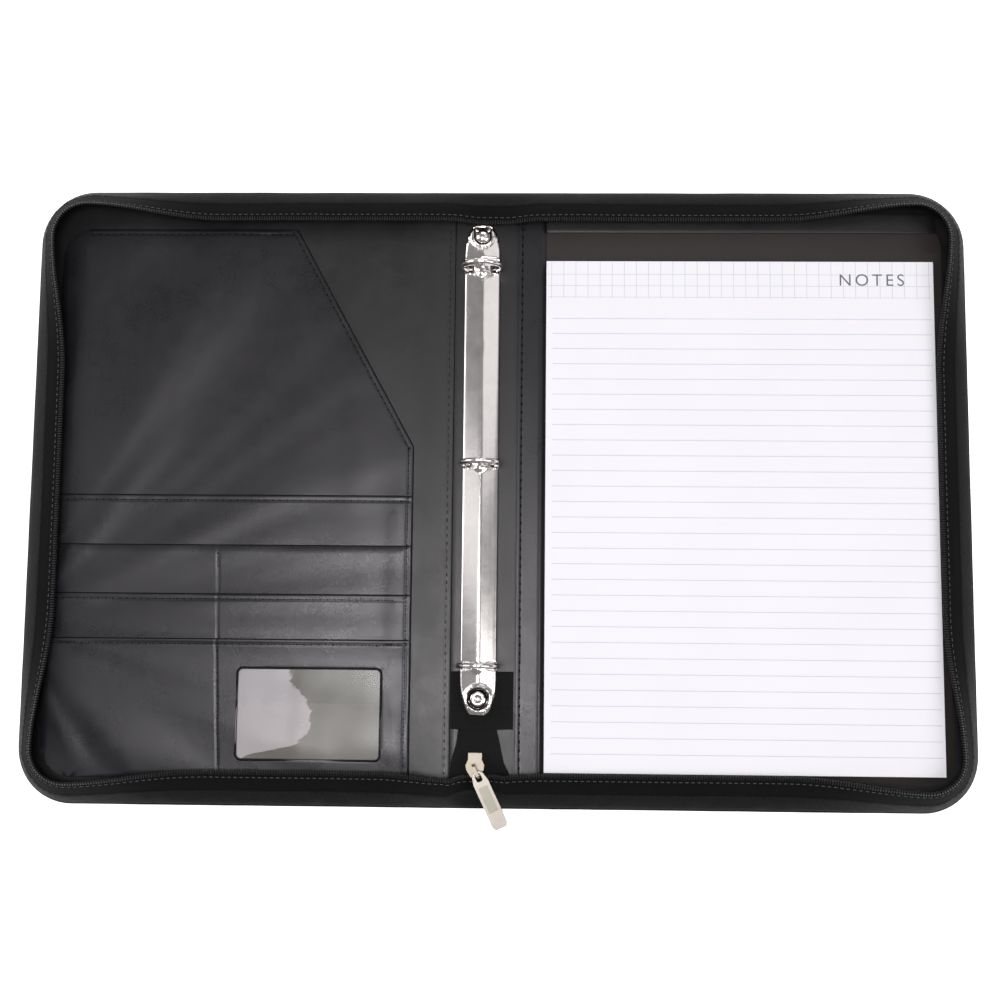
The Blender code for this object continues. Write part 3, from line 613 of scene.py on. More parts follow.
def stitch_run(name, paths, pitch, share, radius, material, sides=6, hole=0.0):
    """Threads that rise from and dive into their sheet, between needle holes of the given size. Paths lie on the sheet."""
    vertices = []
    faces = []
    holes = []
    marks = (-1.0, -0.8, -0.35, 0.35, 0.8, 1.0)
    for points in paths:
        lengths = [0.0]
        for a, b in zip(points, points[1:]):
            lengths.append(lengths[-1] + (Vector(b) - Vector(a)).length)
        count = max(1, int(lengths[-1] / pitch))
        spacing = lengths[-1] / count

        def spot(distance):
            distance = min(max(distance, 0.0), lengths[-1])
            low = 0
            high = len(lengths) - 1
            while high - low > 1:
                middle = (low + high) // 2
                if lengths[middle] <= distance:
                    low = middle
                else:
                    high = middle
            part = (distance - lengths[low]) / max(1e-9, lengths[high] - lengths[low])
            return Vector(points[low]).lerp(Vector(points[high]), part)

        for number in range(count):
            centre = (number + 0.5) * spacing
            half = spacing * share / 2
            start, end = spot(centre - half), spot(centre + half)
            way = end - start
            if way.length < 1e-7:
                continue
            way.normalize()
            side = way.cross(Vector((0, 0, 1)))
            side.normalize()
            up = side.cross(way)
            # Painted shade: each needle hole is a small dark disc on the sheet, standing in for the shade
            # inside the hole.
            if hole > 0:
                spots = (centre - spacing / 2,
                    centre + spacing / 2) if number == count - 1 else (centre - spacing / 2,)
                for distance in spots:
                    middle = spot(distance) + up * 0.00003
                    tip = len(vertices)
                    vertices.append(middle + up * 0.00004)
                    for k in range(8):
                        turn = 2 * math.pi * k / 8
                        vertices.append(middle + way * (1.35 * hole * math.cos(turn)) + side
                            * (hole * math.sin(turn)))
                    vertices.append(middle - up * 0.0002)
                    for k in range(8):
                        j = (k + 1) % 8
                        holes += [(tip, tip + 1 + j, tip + 1 + k), (tip + 9, tip + 1 + k, tip + 1 + j)]
            rings = []
            for mark in marks:
                middle = start.lerp(end, (mark + 1) / 2)
                full = math.sqrt(max(0.0, 1 - (abs(mark) * 0.97) ** 3))
                lift = radius * (0.75 * full - 0.45)
                ring = []
                for k in range(sides):
                    turn = 2 * math.pi * k / sides
                    size = radius * max(0.25, full)
                    offset = side * (size * math.cos(turn)) + up * (size * 0.8 * math.sin(turn) + lift)
                    ring.append(len(vertices))
                    vertices.append(middle + offset)
                rings.append(ring)
            faces += [tuple(rings[0]), tuple(rings[-1])[::-1]]
            for before, after in zip(rings, rings[1:]):
                for k in range(sides):
                    j = (k + 1) % sides
                    faces.append((before[k], after[k], after[j], before[j]))
    thing = solid(name, vertices, faces + holes, material, 80.0)
    # The needle holes take the painted-shade material.
    if holes:
        thing.data.materials.append(GAP_SHADE_PAINT)
        for face in thing.data.polygons[len(faces):]:
            face.material_index = 1
    return thing


def shade_ribbon(name, paths, width, material=None):
    """Painted shadow: a thin dark strip along the mouth or edge of a sheet, standing in for the shade in the
    gap there. Paths lie on the surface beneath.
    """
    vertices = []
    faces = []
    for points in paths:
        rings = []
        for i, point in enumerate(points):
            here = Vector(point)
            way = Vector(points[min(i + 1, len(points) - 1)]) - Vector(points[max(i - 1, 0)])
            side = way.cross(Vector((0, 0, 1))).normalized()
            ring = []
            for across, lift in ((1, 0.0), (0.6, 0.00012), (-0.6, 0.00012), (-1, 0.0)):
                ring.append(len(vertices))
                vertices.append(here + side * (across * width / 2) + Vector((0, 0, lift)))
            rings.append(ring)
        faces += [tuple(rings[0]), tuple(rings[-1])[::-1]]
        for before, after in zip(rings, rings[1:]):
            for k in range(4):
                j = (k + 1) % 4
                faces.append((before[k], after[k], after[j], before[j]))
    return solid(name, vertices, faces, material or GAP_SHADE_PAINT, 60.0)


def line_points(start, end, height, step=0.002):
    """Points on a sheet from start to end."""
    length = math.hypot(end[0] - start[0], end[1] - start[1])
    count = max(1, int(length / step))
    points = []
    for i in range(count + 1):
        x = start[0] + (end[0] - start[0]) * i / count
        y = start[1] + (end[1] - start[1]) * i / count
        points.append((x, y, height(x, y)))
    return points


# ---- Outer leather, turned up round the edge of the boards ----
RIM_SECTION = [
    (0.0070, 0.0), (0.0024, 0.0), (0.0014, 0.00018), (0.0006, 0.00075), (0.00015, 0.0016),
    (0.0, 0.0026),
    (0.0, 0.0044), (0.00012, 0.00485), (0.0005, 0.0050), (0.00085, 0.0048), (0.0009, 0.0042),
    (0.0009, 0.0026),
    (0.0011, 0.0017), (0.0017, 0.0011), (0.0026, 0.0010), (0.0070, 0.0010),
]


def cover_path(start_x, step=0.004, corner_steps=14):
    """Stations round the back cover from the top fold to the bottom fold: place, inward direction, run."""
    radius = CORNER_RADIUS
    straight_x = HALF_WIDTH - radius
    straight_y = HALF_HEIGHT - radius
    stations = []
    count = round((straight_x - start_x) / step)
    for i in range(count):
        stations.append(((start_x + (straight_x - start_x) * i / count, HALF_HEIGHT), (0, -1)))
    for x, y in arc_points((0, 0), 1, 90, 0, corner_steps):
        stations.append(((straight_x + radius * x, straight_y + radius * y), (-x, -y)))
    tall = round(2 * straight_y / step)
    for i in range(1, tall):
        stations.append(((HALF_WIDTH, straight_y - 2 * straight_y * i / tall), (-1, 0)))
    for x, y in arc_points((0, 0), 1, 0, -90, corner_steps):
        stations.append(((straight_x + radius * x, -straight_y + radius * y), (-x, -y)))
    for i in range(1, count + 1):
        stations.append(((straight_x + (start_x - straight_x) * i / count, -HALF_HEIGHT), (0, 1)))
    return stations


def cover_shell(name, flip, body, node):
    """One cover's outer leather: a flat sheet whose edge turns up round the board."""
    start_x = HALF_SPINE + 0.0040
    vertices = []
    rings = []
    for place, inward in cover_path(start_x):
        ring = []
        for inset, z in RIM_SECTION:
            swell = 0.00012 * noise.noise(Vector((place[0] * 60, place[1] * 60, z * 300)))
            x = place[0] + inward[0] * (inset + swell)
            y = place[1] + inward[1] * (inset + swell)
            ring.append(len(vertices))
            vertices.append((-x if flip else x, y, z))
        rings.append(ring)
    last = len(RIM_SECTION) - 1
    faces = [tuple(r[0] for r in rings), tuple(r[last] for r in rings)[::-1]]
    faces += [tuple(rings[0]), tuple(rings[-1])[::-1]]
    faces.append((rings[0][0], rings[0][last], rings[-1][last], rings[-1][0]))
    for before, after in zip(rings, rings[1:]):
        for k in range(last):
            faces.append((before[k], after[k], after[k + 1], before[k + 1]))
    shell = solid(name, vertices, faces, OUTER)
    return place_piece(shell, body, "outer_leather", node)


def strip_shell(name, left, right, steps):
    """A strip of outer leather along Y whose two ends turn up."""
    loop = [(-HALF_HEIGHT + inset, z) for inset, z in RIM_SECTION]
    loop += [(HALF_HEIGHT - inset, z) for inset, z in RIM_SECTION[::-1]]
    vertices = []
    rings = []
    for i in range(steps + 1):
        x = left + (right - left) * i / steps
        rings.append([len(vertices) + k for k in range(len(loop))])
        vertices += [(x, y, z) for y, z in loop]
    faces = [tuple(rings[0]), tuple(rings[-1])[::-1]]
    for before, after in zip(rings, rings[1:]):
        for k in range(len(loop)):
            j = (k + 1) % len(loop)
            faces.append((before[k], after[k], after[j], before[j]))
    return solid(name, vertices, faces, OUTER)


cover_shell("back_cover_shell", False, "back_cover", "back_outer")
cover_shell("front_cover_shell", True, "front_cover", "front_outer")
place_piece(strip_shell("spine_shell", -0.0200, 0.0200, 8), "spine", "outer_leather", "spine_outer")
bend_piece(strip_shell("back_fold_strip", 0.0200, 0.0280, 16), "back_cover", "spine", 0.0280, 0.0200,
           "outer_leather", "back_fold_leather")
bend_piece(strip_shell("front_fold_strip", -0.0280, -0.0200, 16), "spine", "front_cover", -0.0200,
    -0.0280,
           "outer_leather", "front_fold_leather")

for name in ("back_board", "front_board", "spine_board"):
    nodes[name].data.materials.clear()
    nodes[name].data.materials.append(BOARD)


# ---- Linings ----
def lining_outline(flip):
    inset = 0.0012
    radius = CORNER_RADIUS - inset
    points = rounded_outline(
        HALF_SPINE + 0.0002, HALF_WIDTH - inset, -HALF_HEIGHT + inset, HALF_HEIGHT - inset,
        (radius, radius, 0, 0), 12)
    return [(-x, y) for x, y in points][::-1] if flip else points


def front_sheet(x, y):
    return LINING_LOW + front_rise(x, y)


fold_seam = Seams([((-0.0268, -0.158), (-0.0268, 0.158))], 0.00016, 0.0009)
front_lining = panel(
    "front_lining_sheet", [lining_outline(True)], 0.0008,
    lambda x, y: front_sheet(x, y) + fold_seam.groove(x, y), INNER, (0.0075, 0.0075), fold_seam.cuts())
place_piece(front_lining, "front_cover", "inner_leather", "front_lining")
back_lining = panel(
    "back_lining_sheet", [lining_outline(False)], 0.0008, lambda x, y: LINING_LOW + back_rise(x, y),
    INNER, (0.012, 0.012))
place_piece(back_lining, "back_cover", "inner_leather", "back_lining")
tall = HALF_HEIGHT - 0.0012
spine_lining = panel(
    "spine_lining_sheet", [rounded_outline(-0.0238, 0.0238, -tall, tall, (0, 0, 0, 0))], 0.0008,
    lambda x, y: LINING_LOW + spine_rise(x, y), INNER, (0.003, 0.006))
place_piece(spine_lining, "spine", "inner_leather", "spine_lining")


def on_front(x, y):
    return LINING_TOP + front_rise(x, y) - 0.00022


place_piece(
    stitch_run("front_fold_stitches", [line_points((-0.0268, -0.152), (-0.0268, 0.152), on_front)],
               0.0042, 0.55, 0.00030, BLACK_THREAD, 6, 0.00070),
    "front_cover", "inner_leather")


# ---- Walls of gusset, zip tape and coil ----
def wall_lean(x, y, corner, front):
    """Lean in degrees from upright, by place along the wall."""
    if corner:
        return LEAN_CORNER
    straight_x = HALF_WIDTH - CORNER_RADIUS
    straight_y = HALF_HEIGHT - CORNER_RADIUS
    if abs(y) > straight_y + 0.0001:
        lean = LEAN_CORNER + (LEAN_SIDE - LEAN_CORNER) * smooth_step((straight_x - abs(x)) / LEAN_RUN)
        if front and y < 0:
            near = 1 - smooth_step((abs(x) - HALF_SPINE) / SLIDER_RUN)
            lean += (LEAN_BY_SLIDER - LEAN_SIDE) * near
        return lean
    return LEAN_CORNER + (LEAN_SIDE - LEAN_CORNER) * smooth_step((straight_y - abs(y)) / LEAN_RUN)


def wall_stations(front, step):
    """Stations of a cover's wall: place, inward direction, lean and distance run, for the back cover's side."""
    half_w = HALF_WIDTH - WALL_INSET
    half_h = HALF_HEIGHT - WALL_INSET
    radius = CORNER_RADIUS - WALL_INSET
    start_x = HALF_SPINE + WALL_FROM_FOLD
    straight_x = half_w - radius
    straight_y = half_h - radius
    raw = []
    count = round((straight_x - start_x) / step)
    for i in range(count):
        raw.append((start_x + (straight_x - start_x) * i / count, half_h, 0, -1, False))
    turns = max(8, round(radius * math.pi / 2 / step))
    for x, y in arc_points((0, 0), 1, 90, 0, turns):
        raw.append((straight_x + radius * x, straight_y + radius * y, -x, -y, True))
    tall_count = round(2 * straight_y / step)
    for i in range(1, tall_count):
        raw.append((half_w, straight_y - 2 * straight_y * i / tall_count, -1, 0, False))
    for x, y in arc_points((0, 0), 1, 0, -90, turns):
        raw.append((straight_x + radius * x, -straight_y + radius * y, -x, -y, True))
    for i in range(1, count + 1):
        raw.append((straight_x + (start_x - straight_x) * i / count, -half_h, 0, 1, False))
    stations = []
    run = 0.0
    for i, (x, y, nx, ny, corner) in enumerate(raw):
        if i:
            run += math.hypot(x - raw[i - 1][0], y - raw[i - 1][1])
        stations.append((x, y, nx, ny, wall_lean(x, y, corner, front), run))
    return stations


def wall_curve(lean, marks):
    """Inward, upward and angle at each developed length of the wall."""
    fine = 0.0002
    inward = up = along = 0.0
    found = []
    for mark in marks:
        while along < mark - fine / 2:
            angle = math.radians(lean * (0.7 + 0.5 * along / COIL_END))
            inward += math.sin(angle) * fine
            up += math.cos(angle) * fine
            along += fine
        angle = math.radians(lean * (0.7 + 0.5 * along / COIL_END))
        found.append((inward, up, angle))
    return found


def calm_by_spine(x, y):
    """Ripples die away where a cover's wall meets the band over the spine's end."""
    if abs(y) < 0.13:
        return 1.0
    return smooth_step(abs(abs(x) - HALF_SPINE - WALL_FROM_FOLD) / 0.009)


def wall_ripple(run, mark, seed, gather):
    """How far the wall bulges off its smooth shape at a distance run and a developed length."""
    out = smooth_step(mark / 0.014)
    slow = 0.00055 * noise.noise(Vector((run * 17.0, mark * 40.0, seed)))
    quick = 0.00016 * noise.noise(Vector((run * 75.0, mark * 90.0, seed + 4.0)))
    belly = smooth_step(mark / 0.004) * smooth_step((0.0118 - mark) / 0.004)
    folds = gather * belly * 0.00042 * noise.noise(Vector((run * 210.0, mark * 70.0, seed + 9.0)))
    seam = -0.00022 * math.exp(-((mark - 0.0099) / 0.0006) ** 2)
    return out * (slow + quick) + folds + seam


def wall_band(name, stations, start, full_end, thickness, steps, seed, gather, material, flip,
        shorten=None):
    """Sweeps one band of the wall along its stations, with a length and width for its weave."""
    vertices = []
    uvs = []
    rings = []
    for x, y, nx, ny, lean, run in stations:
        end = full_end - (shorten(x) if shorten else 0.0)
        marks = [start + (end - start) * i / steps for i in range(steps + 1)]
        outer = []
        inner = []
        curve = wall_curve(lean, marks)
        g = gather(x, y) if callable(gather) else gather
        for (inward, up, angle), mark in zip(curve, marks):
            rim = min(mark - start, end - mark)
            half = thickness / 2 * (0.55 + 0.45 * smooth_step(rim / 0.0006))
            shift = wall_ripple(run, mark, seed, g) * calm_by_spine(x, y)
            for sign, side in ((-1, outer), (1, inner)):
                reach = shift + sign * half
                across_in = inward + reach * math.cos(angle)
                across_up = up - reach * math.sin(angle)
                side.append((across_in, across_up, mark))
        ring = []
        for across_in, across_up, mark in outer + inner[::-1]:
            px = x + nx * across_in
            py = y + ny * across_in
            ring.append(len(vertices))
            vertices.append((-px if flip else px, py, WALL_BASE + across_up))
            uvs.append((run, mark))
        rings.append(ring)
    size = len(rings[0])
    faces = [tuple(rings[0]), tuple(rings[-1])[::-1]]
    for before, after in zip(rings, rings[1:]):
        for k in range(size):
            j = (k + 1) % size
            faces.append((before[k], before[j], after[j], after[k]))
    return solid(name, vertices, faces, material, 60.0, uvs)


def wall_point(station, mark, seed, gather, lift, flip):
    """A point on the wall's outer face at a developed length."""
    x, y, nx, ny, lean, run = station
    (inward, up, angle), = wall_curve(lean, [mark])
    g = gather(x, y) if callable(gather) else gather
    reach = wall_ripple(run, mark, seed, g) * calm_by_spine(x, y) - lift
    across_in = inward + reach * math.cos(angle)
    across_up = up - reach * math.sin(angle)
    px = x + nx * across_in
    return Vector((-px if flip else px, y + ny * across_in, WALL_BASE + across_up))


def coil_teeth(name, stations, seed, flip, pitch=0.00135, shorten=None):
    """The zip's nylon coil: one small loop after another along the tape's free edge."""
    vertices = []
    faces = []
    trims = [shorten(s[0]) if shorten else 0.0 for s in stations]
    first = [wall_point(s, COIL_START - 0.0004 - t, seed, 0.0, 0.0, flip) for s,
        t in zip(stations, trims)]
    second = [wall_point(s, COIL_END - t, seed, 0.0, 0.0, flip) for s, t in zip(stations, trims)]
    lengths = [0.0]
    for a, b in zip(second, second[1:]):
        lengths.append(lengths[-1] + (b - a).length)
    count = int(lengths[-1] / pitch)
    index = 0
    for number in range(count):
        distance = (number + 0.5) * lengths[-1] / count
        while index < len(lengths) - 2 and lengths[index + 1] < distance:
            index += 1
        part = (distance - lengths[index]) / max(1e-9, lengths[index + 1] - lengths[index])
        root = first[index].lerp(first[index + 1], part)
        tip = second[index].lerp(second[index + 1], part)
        way = (tip - root).normalized()
        run = (second[index + 1] - second[index]).normalized()
        up = way.cross(run).normalized()
        rings = []
        for t, size in ((0.0, 0.30), (0.25, 0.42), (0.65, 0.48), (0.9, 0.44), (1.0, 0.24)):
            middle = root.lerp(tip, t)
            ring = []
            for k in range(6):
                turn = 2 * math.pi * k / 6
                ring.append(len(vertices))
                vertices.append(middle + run * (0.00115 * size * math.cos(turn)) + up
                    * (0.0017 * size * math.sin(turn)))
            rings.append(ring)
        faces += [tuple(rings[0]), tuple(rings[-1])[::-1]]
        for before, after in zip(rings, rings[1:]):
            for k in range(6):
                j = (k + 1) % 6
                faces.append((before[k], after[k], after[j], before[j]))
    return solid(name, vertices, faces, COIL, 70.0)


def gather_by_place(x, y):
    """Gathers in the gusset: strongest along the lower edge, and at the corners."""
    corner = smooth_step((abs(x) - 0.19) / 0.04) * smooth_step((abs(y) - 0.10) / 0.04)
    lower = 0.95 if y < -0.13 else 0.35
    return max(lower, 0.9 * corner)


wall_rows = (
    ("_seam_stitches", 0.0088, 0.0034, 0.00018, BLACK_THREAD, 0.00058, "outer_leather"),
    ("_tape_stitches", 0.0172, 0.0032, 0.00021, GREY_THREAD, 0.00040, "zipper_tape"),
)
for side, flip, seed in (("back", False, 2.0), ("front", True, 6.0)):
    body = side + "_cover"
    stations = wall_stations(flip, 0.0022)
    gusset = wall_band(side + "_gusset_wall", stations, 0.0, GUSSET_END, 0.0012, 8, seed,
        gather_by_place, GUSSET, flip)
    place_piece(gusset, body, "outer_leather", side + "_gusset")
    tape = wall_band(side + "_tape_wall", stations, TAPE_START - 0.0003, TAPE_END + 0.0004, 0.0007, 8,
        seed,
                     gather_by_place, TAPE, flip)
    place_piece(tape, body, "zipper_tape", side + "_zip_tape")
    place_piece(coil_teeth(side + "_coil_teeth", stations, seed, flip), body, "zipper_coil",
        side + "_zip_coil")
    for ending, mark, pitch, radius, material, lift, slot in wall_rows:
        path = [wall_point(s, mark, seed, gather_by_place, lift, flip) for s in stations]
        run = stitch_run(side + ending, [path], pitch, 0.6, radius, material)
        place_piece(run, body, slot)

# The soft band over each end of the spine, parted in the middle into a left and a right half
for end_name, sign, lean_front, lean_more, flat_x, flat_run, tape_cut in (
        ("top", 1, LEAN_SIDE, 8.0, -0.003, 0.0171, 0.0),
        ("bottom", -1, LEAN_BY_SLIDER, 28.0, -0.0090, 0.0115, 0.0030)):
    reach = HALF_SPINE + WALL_FROM_FOLD + 0.0003
    stations = []
    count = 34
    for i in range(count + 1):
        x = -reach + 2 * reach * i / count
        lean = lean_front + (LEAN_SIDE - lean_front) * i / count
        near = smooth_step(1.4 - abs(x - flat_x) / flat_run)
        stations.append((x, sign * (HALF_HEIGHT - WALL_INSET), 0, -sign, lean + lean_more * near, x))
    middle = count // 2

    def tape_trim(x, flat_x=flat_x, tape_cut=tape_cut):
        return tape_cut * smooth_step(1.25 - abs(x - flat_x) / 0.016)

    for half, part in (("left", stations[:middle + 1]), ("right", stations[middle:])):
        bands = (
            ("_gusset", 0.0, GUSSET_END, 0.0012, 8, GUSSET, "outer_leather"),
            ("_tape", TAPE_START - 0.0003, TAPE_END + 0.0004, 0.0007, 8, TAPE, "zipper_tape"),
        )
        for ending, start, end, thickness, steps, material, slot in bands:
            name = "spine_%s%s_%s" % (end_name, ending, half)
            shorten = (lambda x: 0.0) if ending == "_gusset" else tape_trim
            band = wall_band(name, part, start, end, thickness, steps, 12.0 + sign, 0.5, material,
                False, shorten)
            node = "spine_%s%s" % (end_name, ending)
            if half == "left":
                bend_piece(band, "spine", "front_cover", -0.003, -reach, slot, node)
            else:
                bend_piece(band, "back_cover", "spine", reach, 0.003, slot, node)
        extras = []
        for ending, mark, pitch, radius, material, lift, slot in wall_rows:
            shorten = (lambda x: 0.0) if mark < TAPE_START else tape_trim
            path = [wall_point(s, mark - shorten(s[0]), 12.0 + sign, 0.5, lift, False) for s in part]
            name = "spine_%s%s_%s" % (end_name, ending, half)
            extras.append((stitch_run(name, [path], pitch, 0.6, radius, material), slot))
        near_slider = [s for s in part if end_name == "top" or abs(s[0] - flat_x) > 0.0035]
        name = "spine_%s_coil_%s" % (end_name, half)
        extras.append((coil_teeth(name, near_slider, 12.0 + sign, False, 0.00135, tape_trim),
            "zipper_coil"))
        for thing, slot in extras:
            if half == "left":
                bend_piece(thing, "spine", "front_cover", -0.003, -reach, slot)
            else:
                bend_piece(thing, "back_cover", "spine", reach, 0.003, slot)

# ---- Document pocket and card pockets ----
POCKET_LEFT = -0.2420
POCKET_RIGHT = -0.0458
POCKET_BOTTOM = -0.1535
POCKET_TOP = 0.1460
CUT_TOP = (-0.1120, 0.1460)
CUT_LOW = (-0.0458, 0.0249)
POCKET_CORNER = 0.0170
CARD_TOPS = (-0.0026, -0.0298, -0.0562, -0.0803)
CARD_BASES = (0.0058, 0.0066, 0.0074, 0.0082)
DIVIDER_TOP = (-0.1500, -0.0335)
DIVIDER_LOW = (-0.1465, -0.1460)
WINDOW = (-0.1369, -0.0608, -0.1431, -0.0955)


def inward_of(start, end, distance):
    """The line from start to end, shifted to its left by distance."""
    length = math.hypot(end[0] - start[0], end[1] - start[1])
    nx, ny = -(end[1] - start[1]) / length * distance, (end[0] - start[0]) / length * distance
    return (start[0] + nx, start[1] + ny), (end[0] + nx, end[1] + ny)


pocket_outline = [(POCKET_RIGHT, POCKET_BOTTOM), CUT_LOW, CUT_TOP]
pocket_outline += arc_points((POCKET_LEFT + POCKET_CORNER, POCKET_TOP - POCKET_CORNER), POCKET_CORNER,
    90, 180, 10)
pocket_outline += arc_points((POCKET_LEFT + POCKET_CORNER, POCKET_BOTTOM + POCKET_CORNER),
    POCKET_CORNER, 180, 270, 10)
SEAM_IN = 0.0023
MOUTH_SEAM = 0.0024
pocket_lines = [
    inward_of(CUT_LOW, CUT_TOP, SEAM_IN),
    ((POCKET_RIGHT - SEAM_IN, POCKET_BOTTOM + 0.003), (POCKET_RIGHT - SEAM_IN, CUT_LOW[1] + 0.0005)),
    ((POCKET_LEFT + 0.016, POCKET_TOP - 0.0027), (CUT_TOP[0] - 0.0015, POCKET_TOP - 0.0027)),
]
pocket_seams = Seams(pocket_lines, 0.00022, 0.0010)
POCKET_Z = 0.0047
pocket_sheet = panel(
    "document_pocket_sheet", [pocket_outline], 0.0008,
    lambda x, y: POCKET_Z + front_rise(x, y) + pocket_seams.groove(x, y), POCKET, (0.0040, 0.0040),
    pocket_seams.cuts(), 0.00028)
place_piece(pocket_sheet, "front_cover", "inner_leather", "document_pocket")


def on_pocket(x, y):
    return POCKET_Z + 0.0008 + front_rise(x, y) - 0.00016


pocket_paths = [line_points(a, b, on_pocket) for a, b in (pocket_lines[0], pocket_lines[2])]
pocket_paths.append(line_points(
    (POCKET_RIGHT - SEAM_IN, CARD_TOPS[0] + 0.002), (POCKET_RIGHT - SEAM_IN, CUT_LOW[1] - 0.001),
    on_pocket))
# Painted shadow: a dark strip on the lining just outside the pocket's cut edge, right edge and top.
place_piece(
    shade_ribbon("document_pocket_painted_shadow", [line_points(
        (a[0] + dx, a[1] + dy), (b[0] + dx, b[1] + dy), lambda x,
        y: LINING_TOP + front_rise(x, y) + 0.00012)
        for a, b, dx, dy in (
            (CUT_LOW, CUT_TOP, 0.00012, 0.00012), ((POCKET_RIGHT, POCKET_BOTTOM), CUT_LOW, 0.00015, 0),
            ((POCKET_LEFT + 0.014, POCKET_TOP), CUT_TOP, 0, 0.00015))], 0.00075),
    "front_cover", "inner_leather")
place_piece(stitch_run("document_pocket_stitches", pocket_paths, 0.0040, 0.60, 0.00026, BLACK_THREAD, 6,
    0.00052),
            "front_cover", "inner_leather")

stitch_rows = []
mouth_lines = []
for number, (top, base) in enumerate(zip(CARD_TOPS, CARD_BASES), start=1):
    last = number == len(CARD_TOPS)
    thickness = 0.0011 if last else 0.0005
    outline = rounded_outline(POCKET_LEFT, POCKET_RIGHT, POCKET_BOTTOM, top, (0, 0, 0, POCKET_CORNER),
        8)
    outlines = [outline]
    if last:
        outlines.append(rounded_outline(*WINDOW, (0.0027,) * 4, 6))
    lines = [((POCKET_RIGHT - SEAM_IN, POCKET_BOTTOM + 0.002), (POCKET_RIGHT - SEAM_IN, top))]
    if number != 2:
        lines.append(((POCKET_LEFT + 0.004, top - MOUTH_SEAM),
            (POCKET_RIGHT - 0.001, top - MOUTH_SEAM)))
    if number > 1:
        upper = (DIVIDER_TOP if top > DIVIDER_TOP[1] else (-0.1494 + 0.0, top))
        lines.append((DIVIDER_LOW, upper))
    seams = Seams(lines, 0.00030, 0.0011)

    def sheet_height(x, y, base=base, top=top, seams=seams, number=number):
        mouth = 0.00020 * smooth_step(1 - (top - y) / 0.012) * (1
            + noise.noise(Vector((x * 21.0, number * 3.0, 1.0))))
        return base + front_rise(x, y) + seams.groove(x, y) + mouth

    sheet = panel("card_pocket_sheet_%d" % number, outlines, thickness, sheet_height, POCKET,
        (0.0042, 0.0042),
                  seams.cuts(), 0.00022)
    place_piece(sheet, "front_cover", "inner_leather", "card_pocket_%d" % number)

    def on_sheet(x, y, height=sheet_height, thickness=thickness):
        return height(x, y) + thickness + 0.00008

    # Painted shadow: a dark strip just above each card pocket's mouth, on the sheet beneath it.
    mouth_lines.append(line_points(
        (POCKET_LEFT + 0.001, top + 0.0002), (POCKET_RIGHT - 0.0002, top + 0.0002),
        lambda x, y, base=base: base + front_rise(x, y) + 0.00012))
    low = CARD_TOPS[number] if not last else POCKET_BOTTOM + 0.003
    stitch_rows.append(line_points((POCKET_RIGHT - SEAM_IN, low + 0.001),
        (POCKET_RIGHT - SEAM_IN, top - 0.001), on_sheet))
    if number != 2:
        right = POCKET_RIGHT - (0.0095 if number == 3 else 0.002)
        stitch_rows.append(line_points((POCKET_LEFT + 0.005, top - MOUTH_SEAM),
            (right, top - MOUTH_SEAM), on_sheet))
    if number == 2:
        stitch_rows.append(line_points((-0.1502, DIVIDER_TOP[1] - 0.0005),
            (-0.1498, DIVIDER_TOP[1] - 0.0075), on_sheet))
    if last:
        stitch_rows.append(line_points(DIVIDER_LOW, (-0.1486, top - 0.002), on_sheet))
        window_height = sheet_height
place_piece(stitch_run("card_pocket_stitches", stitch_rows, 0.0038, 0.60, 0.00023, BLACK_THREAD, 6,
    0.00046),
            "front_cover", "inner_leather")

# Painted shadows along the card pocket mouths.
place_piece(shade_ribbon("card_pocket_edges", mouth_lines, 0.0008), "front_cover", "inner_leather")

# A narrow turned edge round the window
left, right, bottom, top = WINDOW


def frame_outline(grow, steps=6):
    return rounded_outline(left - grow, right + grow, bottom - grow, top + grow, (0.0027 + grow,) * 4,
        steps)


def window_rim(name, material):
    """A rounded bead that borders the window."""
    loops = []
    vertices = []
    section = ((-0.0002, 0.0001), (0.0000, 0.00022), (0.0004, 0.00032), (0.0009, 0.00022),
        (0.0011, 0.0), (0.0009, -0.0003),
               (0.0, -0.0006))
    for grow, lift in section:
        loop = []
        for x, y in frame_outline(grow):
            loop.append(len(vertices))
            vertices.append((x, y, window_height(x, y) + 0.0011 + lift))
        loops.append(loop)
    faces = []
    size = len(loops[0])
    for i in range(len(loops)):
        before, after = loops[i], loops[(i + 1) % len(loops)]
        for k in range(size):
            j = (k + 1) % size
            faces.append((before[k], before[j], after[j], after[k]))
    return solid(name, vertices, faces, material, 50.0)


place_piece(window_rim("window_rim_bead", GUSSET), "front_cover", "inner_leather")


def film_height(x, y):
    tilt = 0.00050 * smooth_step((-0.104 + 0.004 * noise.noise(Vector((0.3, y * 90.0, 2.0)))
        - x) / 0.006)
    return 0.00885 + front_rise(x,
        y) + 0.00008 * noise.noise(Vector((x * 80.0, y * 60.0, 6.0))) - tilt * 0.3


inset = 0.0003
film = panel(
    "window_film", [rounded_outline(left + inset, right - inset, bottom + inset, top - inset,
    (0.0024,) * 4, 6)],
    0.0003, film_height, FILM, (0.0020, 0.0020), (), 0)
place_piece(film, "front_cover", "clear_film", "id_window")
card_top = -0.1135
insert = panel(
    "window_card", [rounded_outline(left + 0.0006, right - 0.0006, bottom + 0.0006, card_top,
    (0.0010, 0, 0, 0.0010), 4)],
    0.0004, lambda x, y: 0.00822 + front_rise(x, y), CARD, (0.006, 0.006), (), 0.0001)
place_piece(insert, "front_cover", "card", "id_card")
window_back = panel(
    "window_back_sheet",
    [rounded_outline(left + 0.0004, right - 0.0004, bottom + 0.0004, top - 0.0004, (0.0010,) * 4, 4)],
    0.0002, lambda x, y: 0.00795 + front_rise(x, y), CARD_SHADE, (0.006, 0.006), (), 0)
place_piece(window_back, "front_cover", "card")

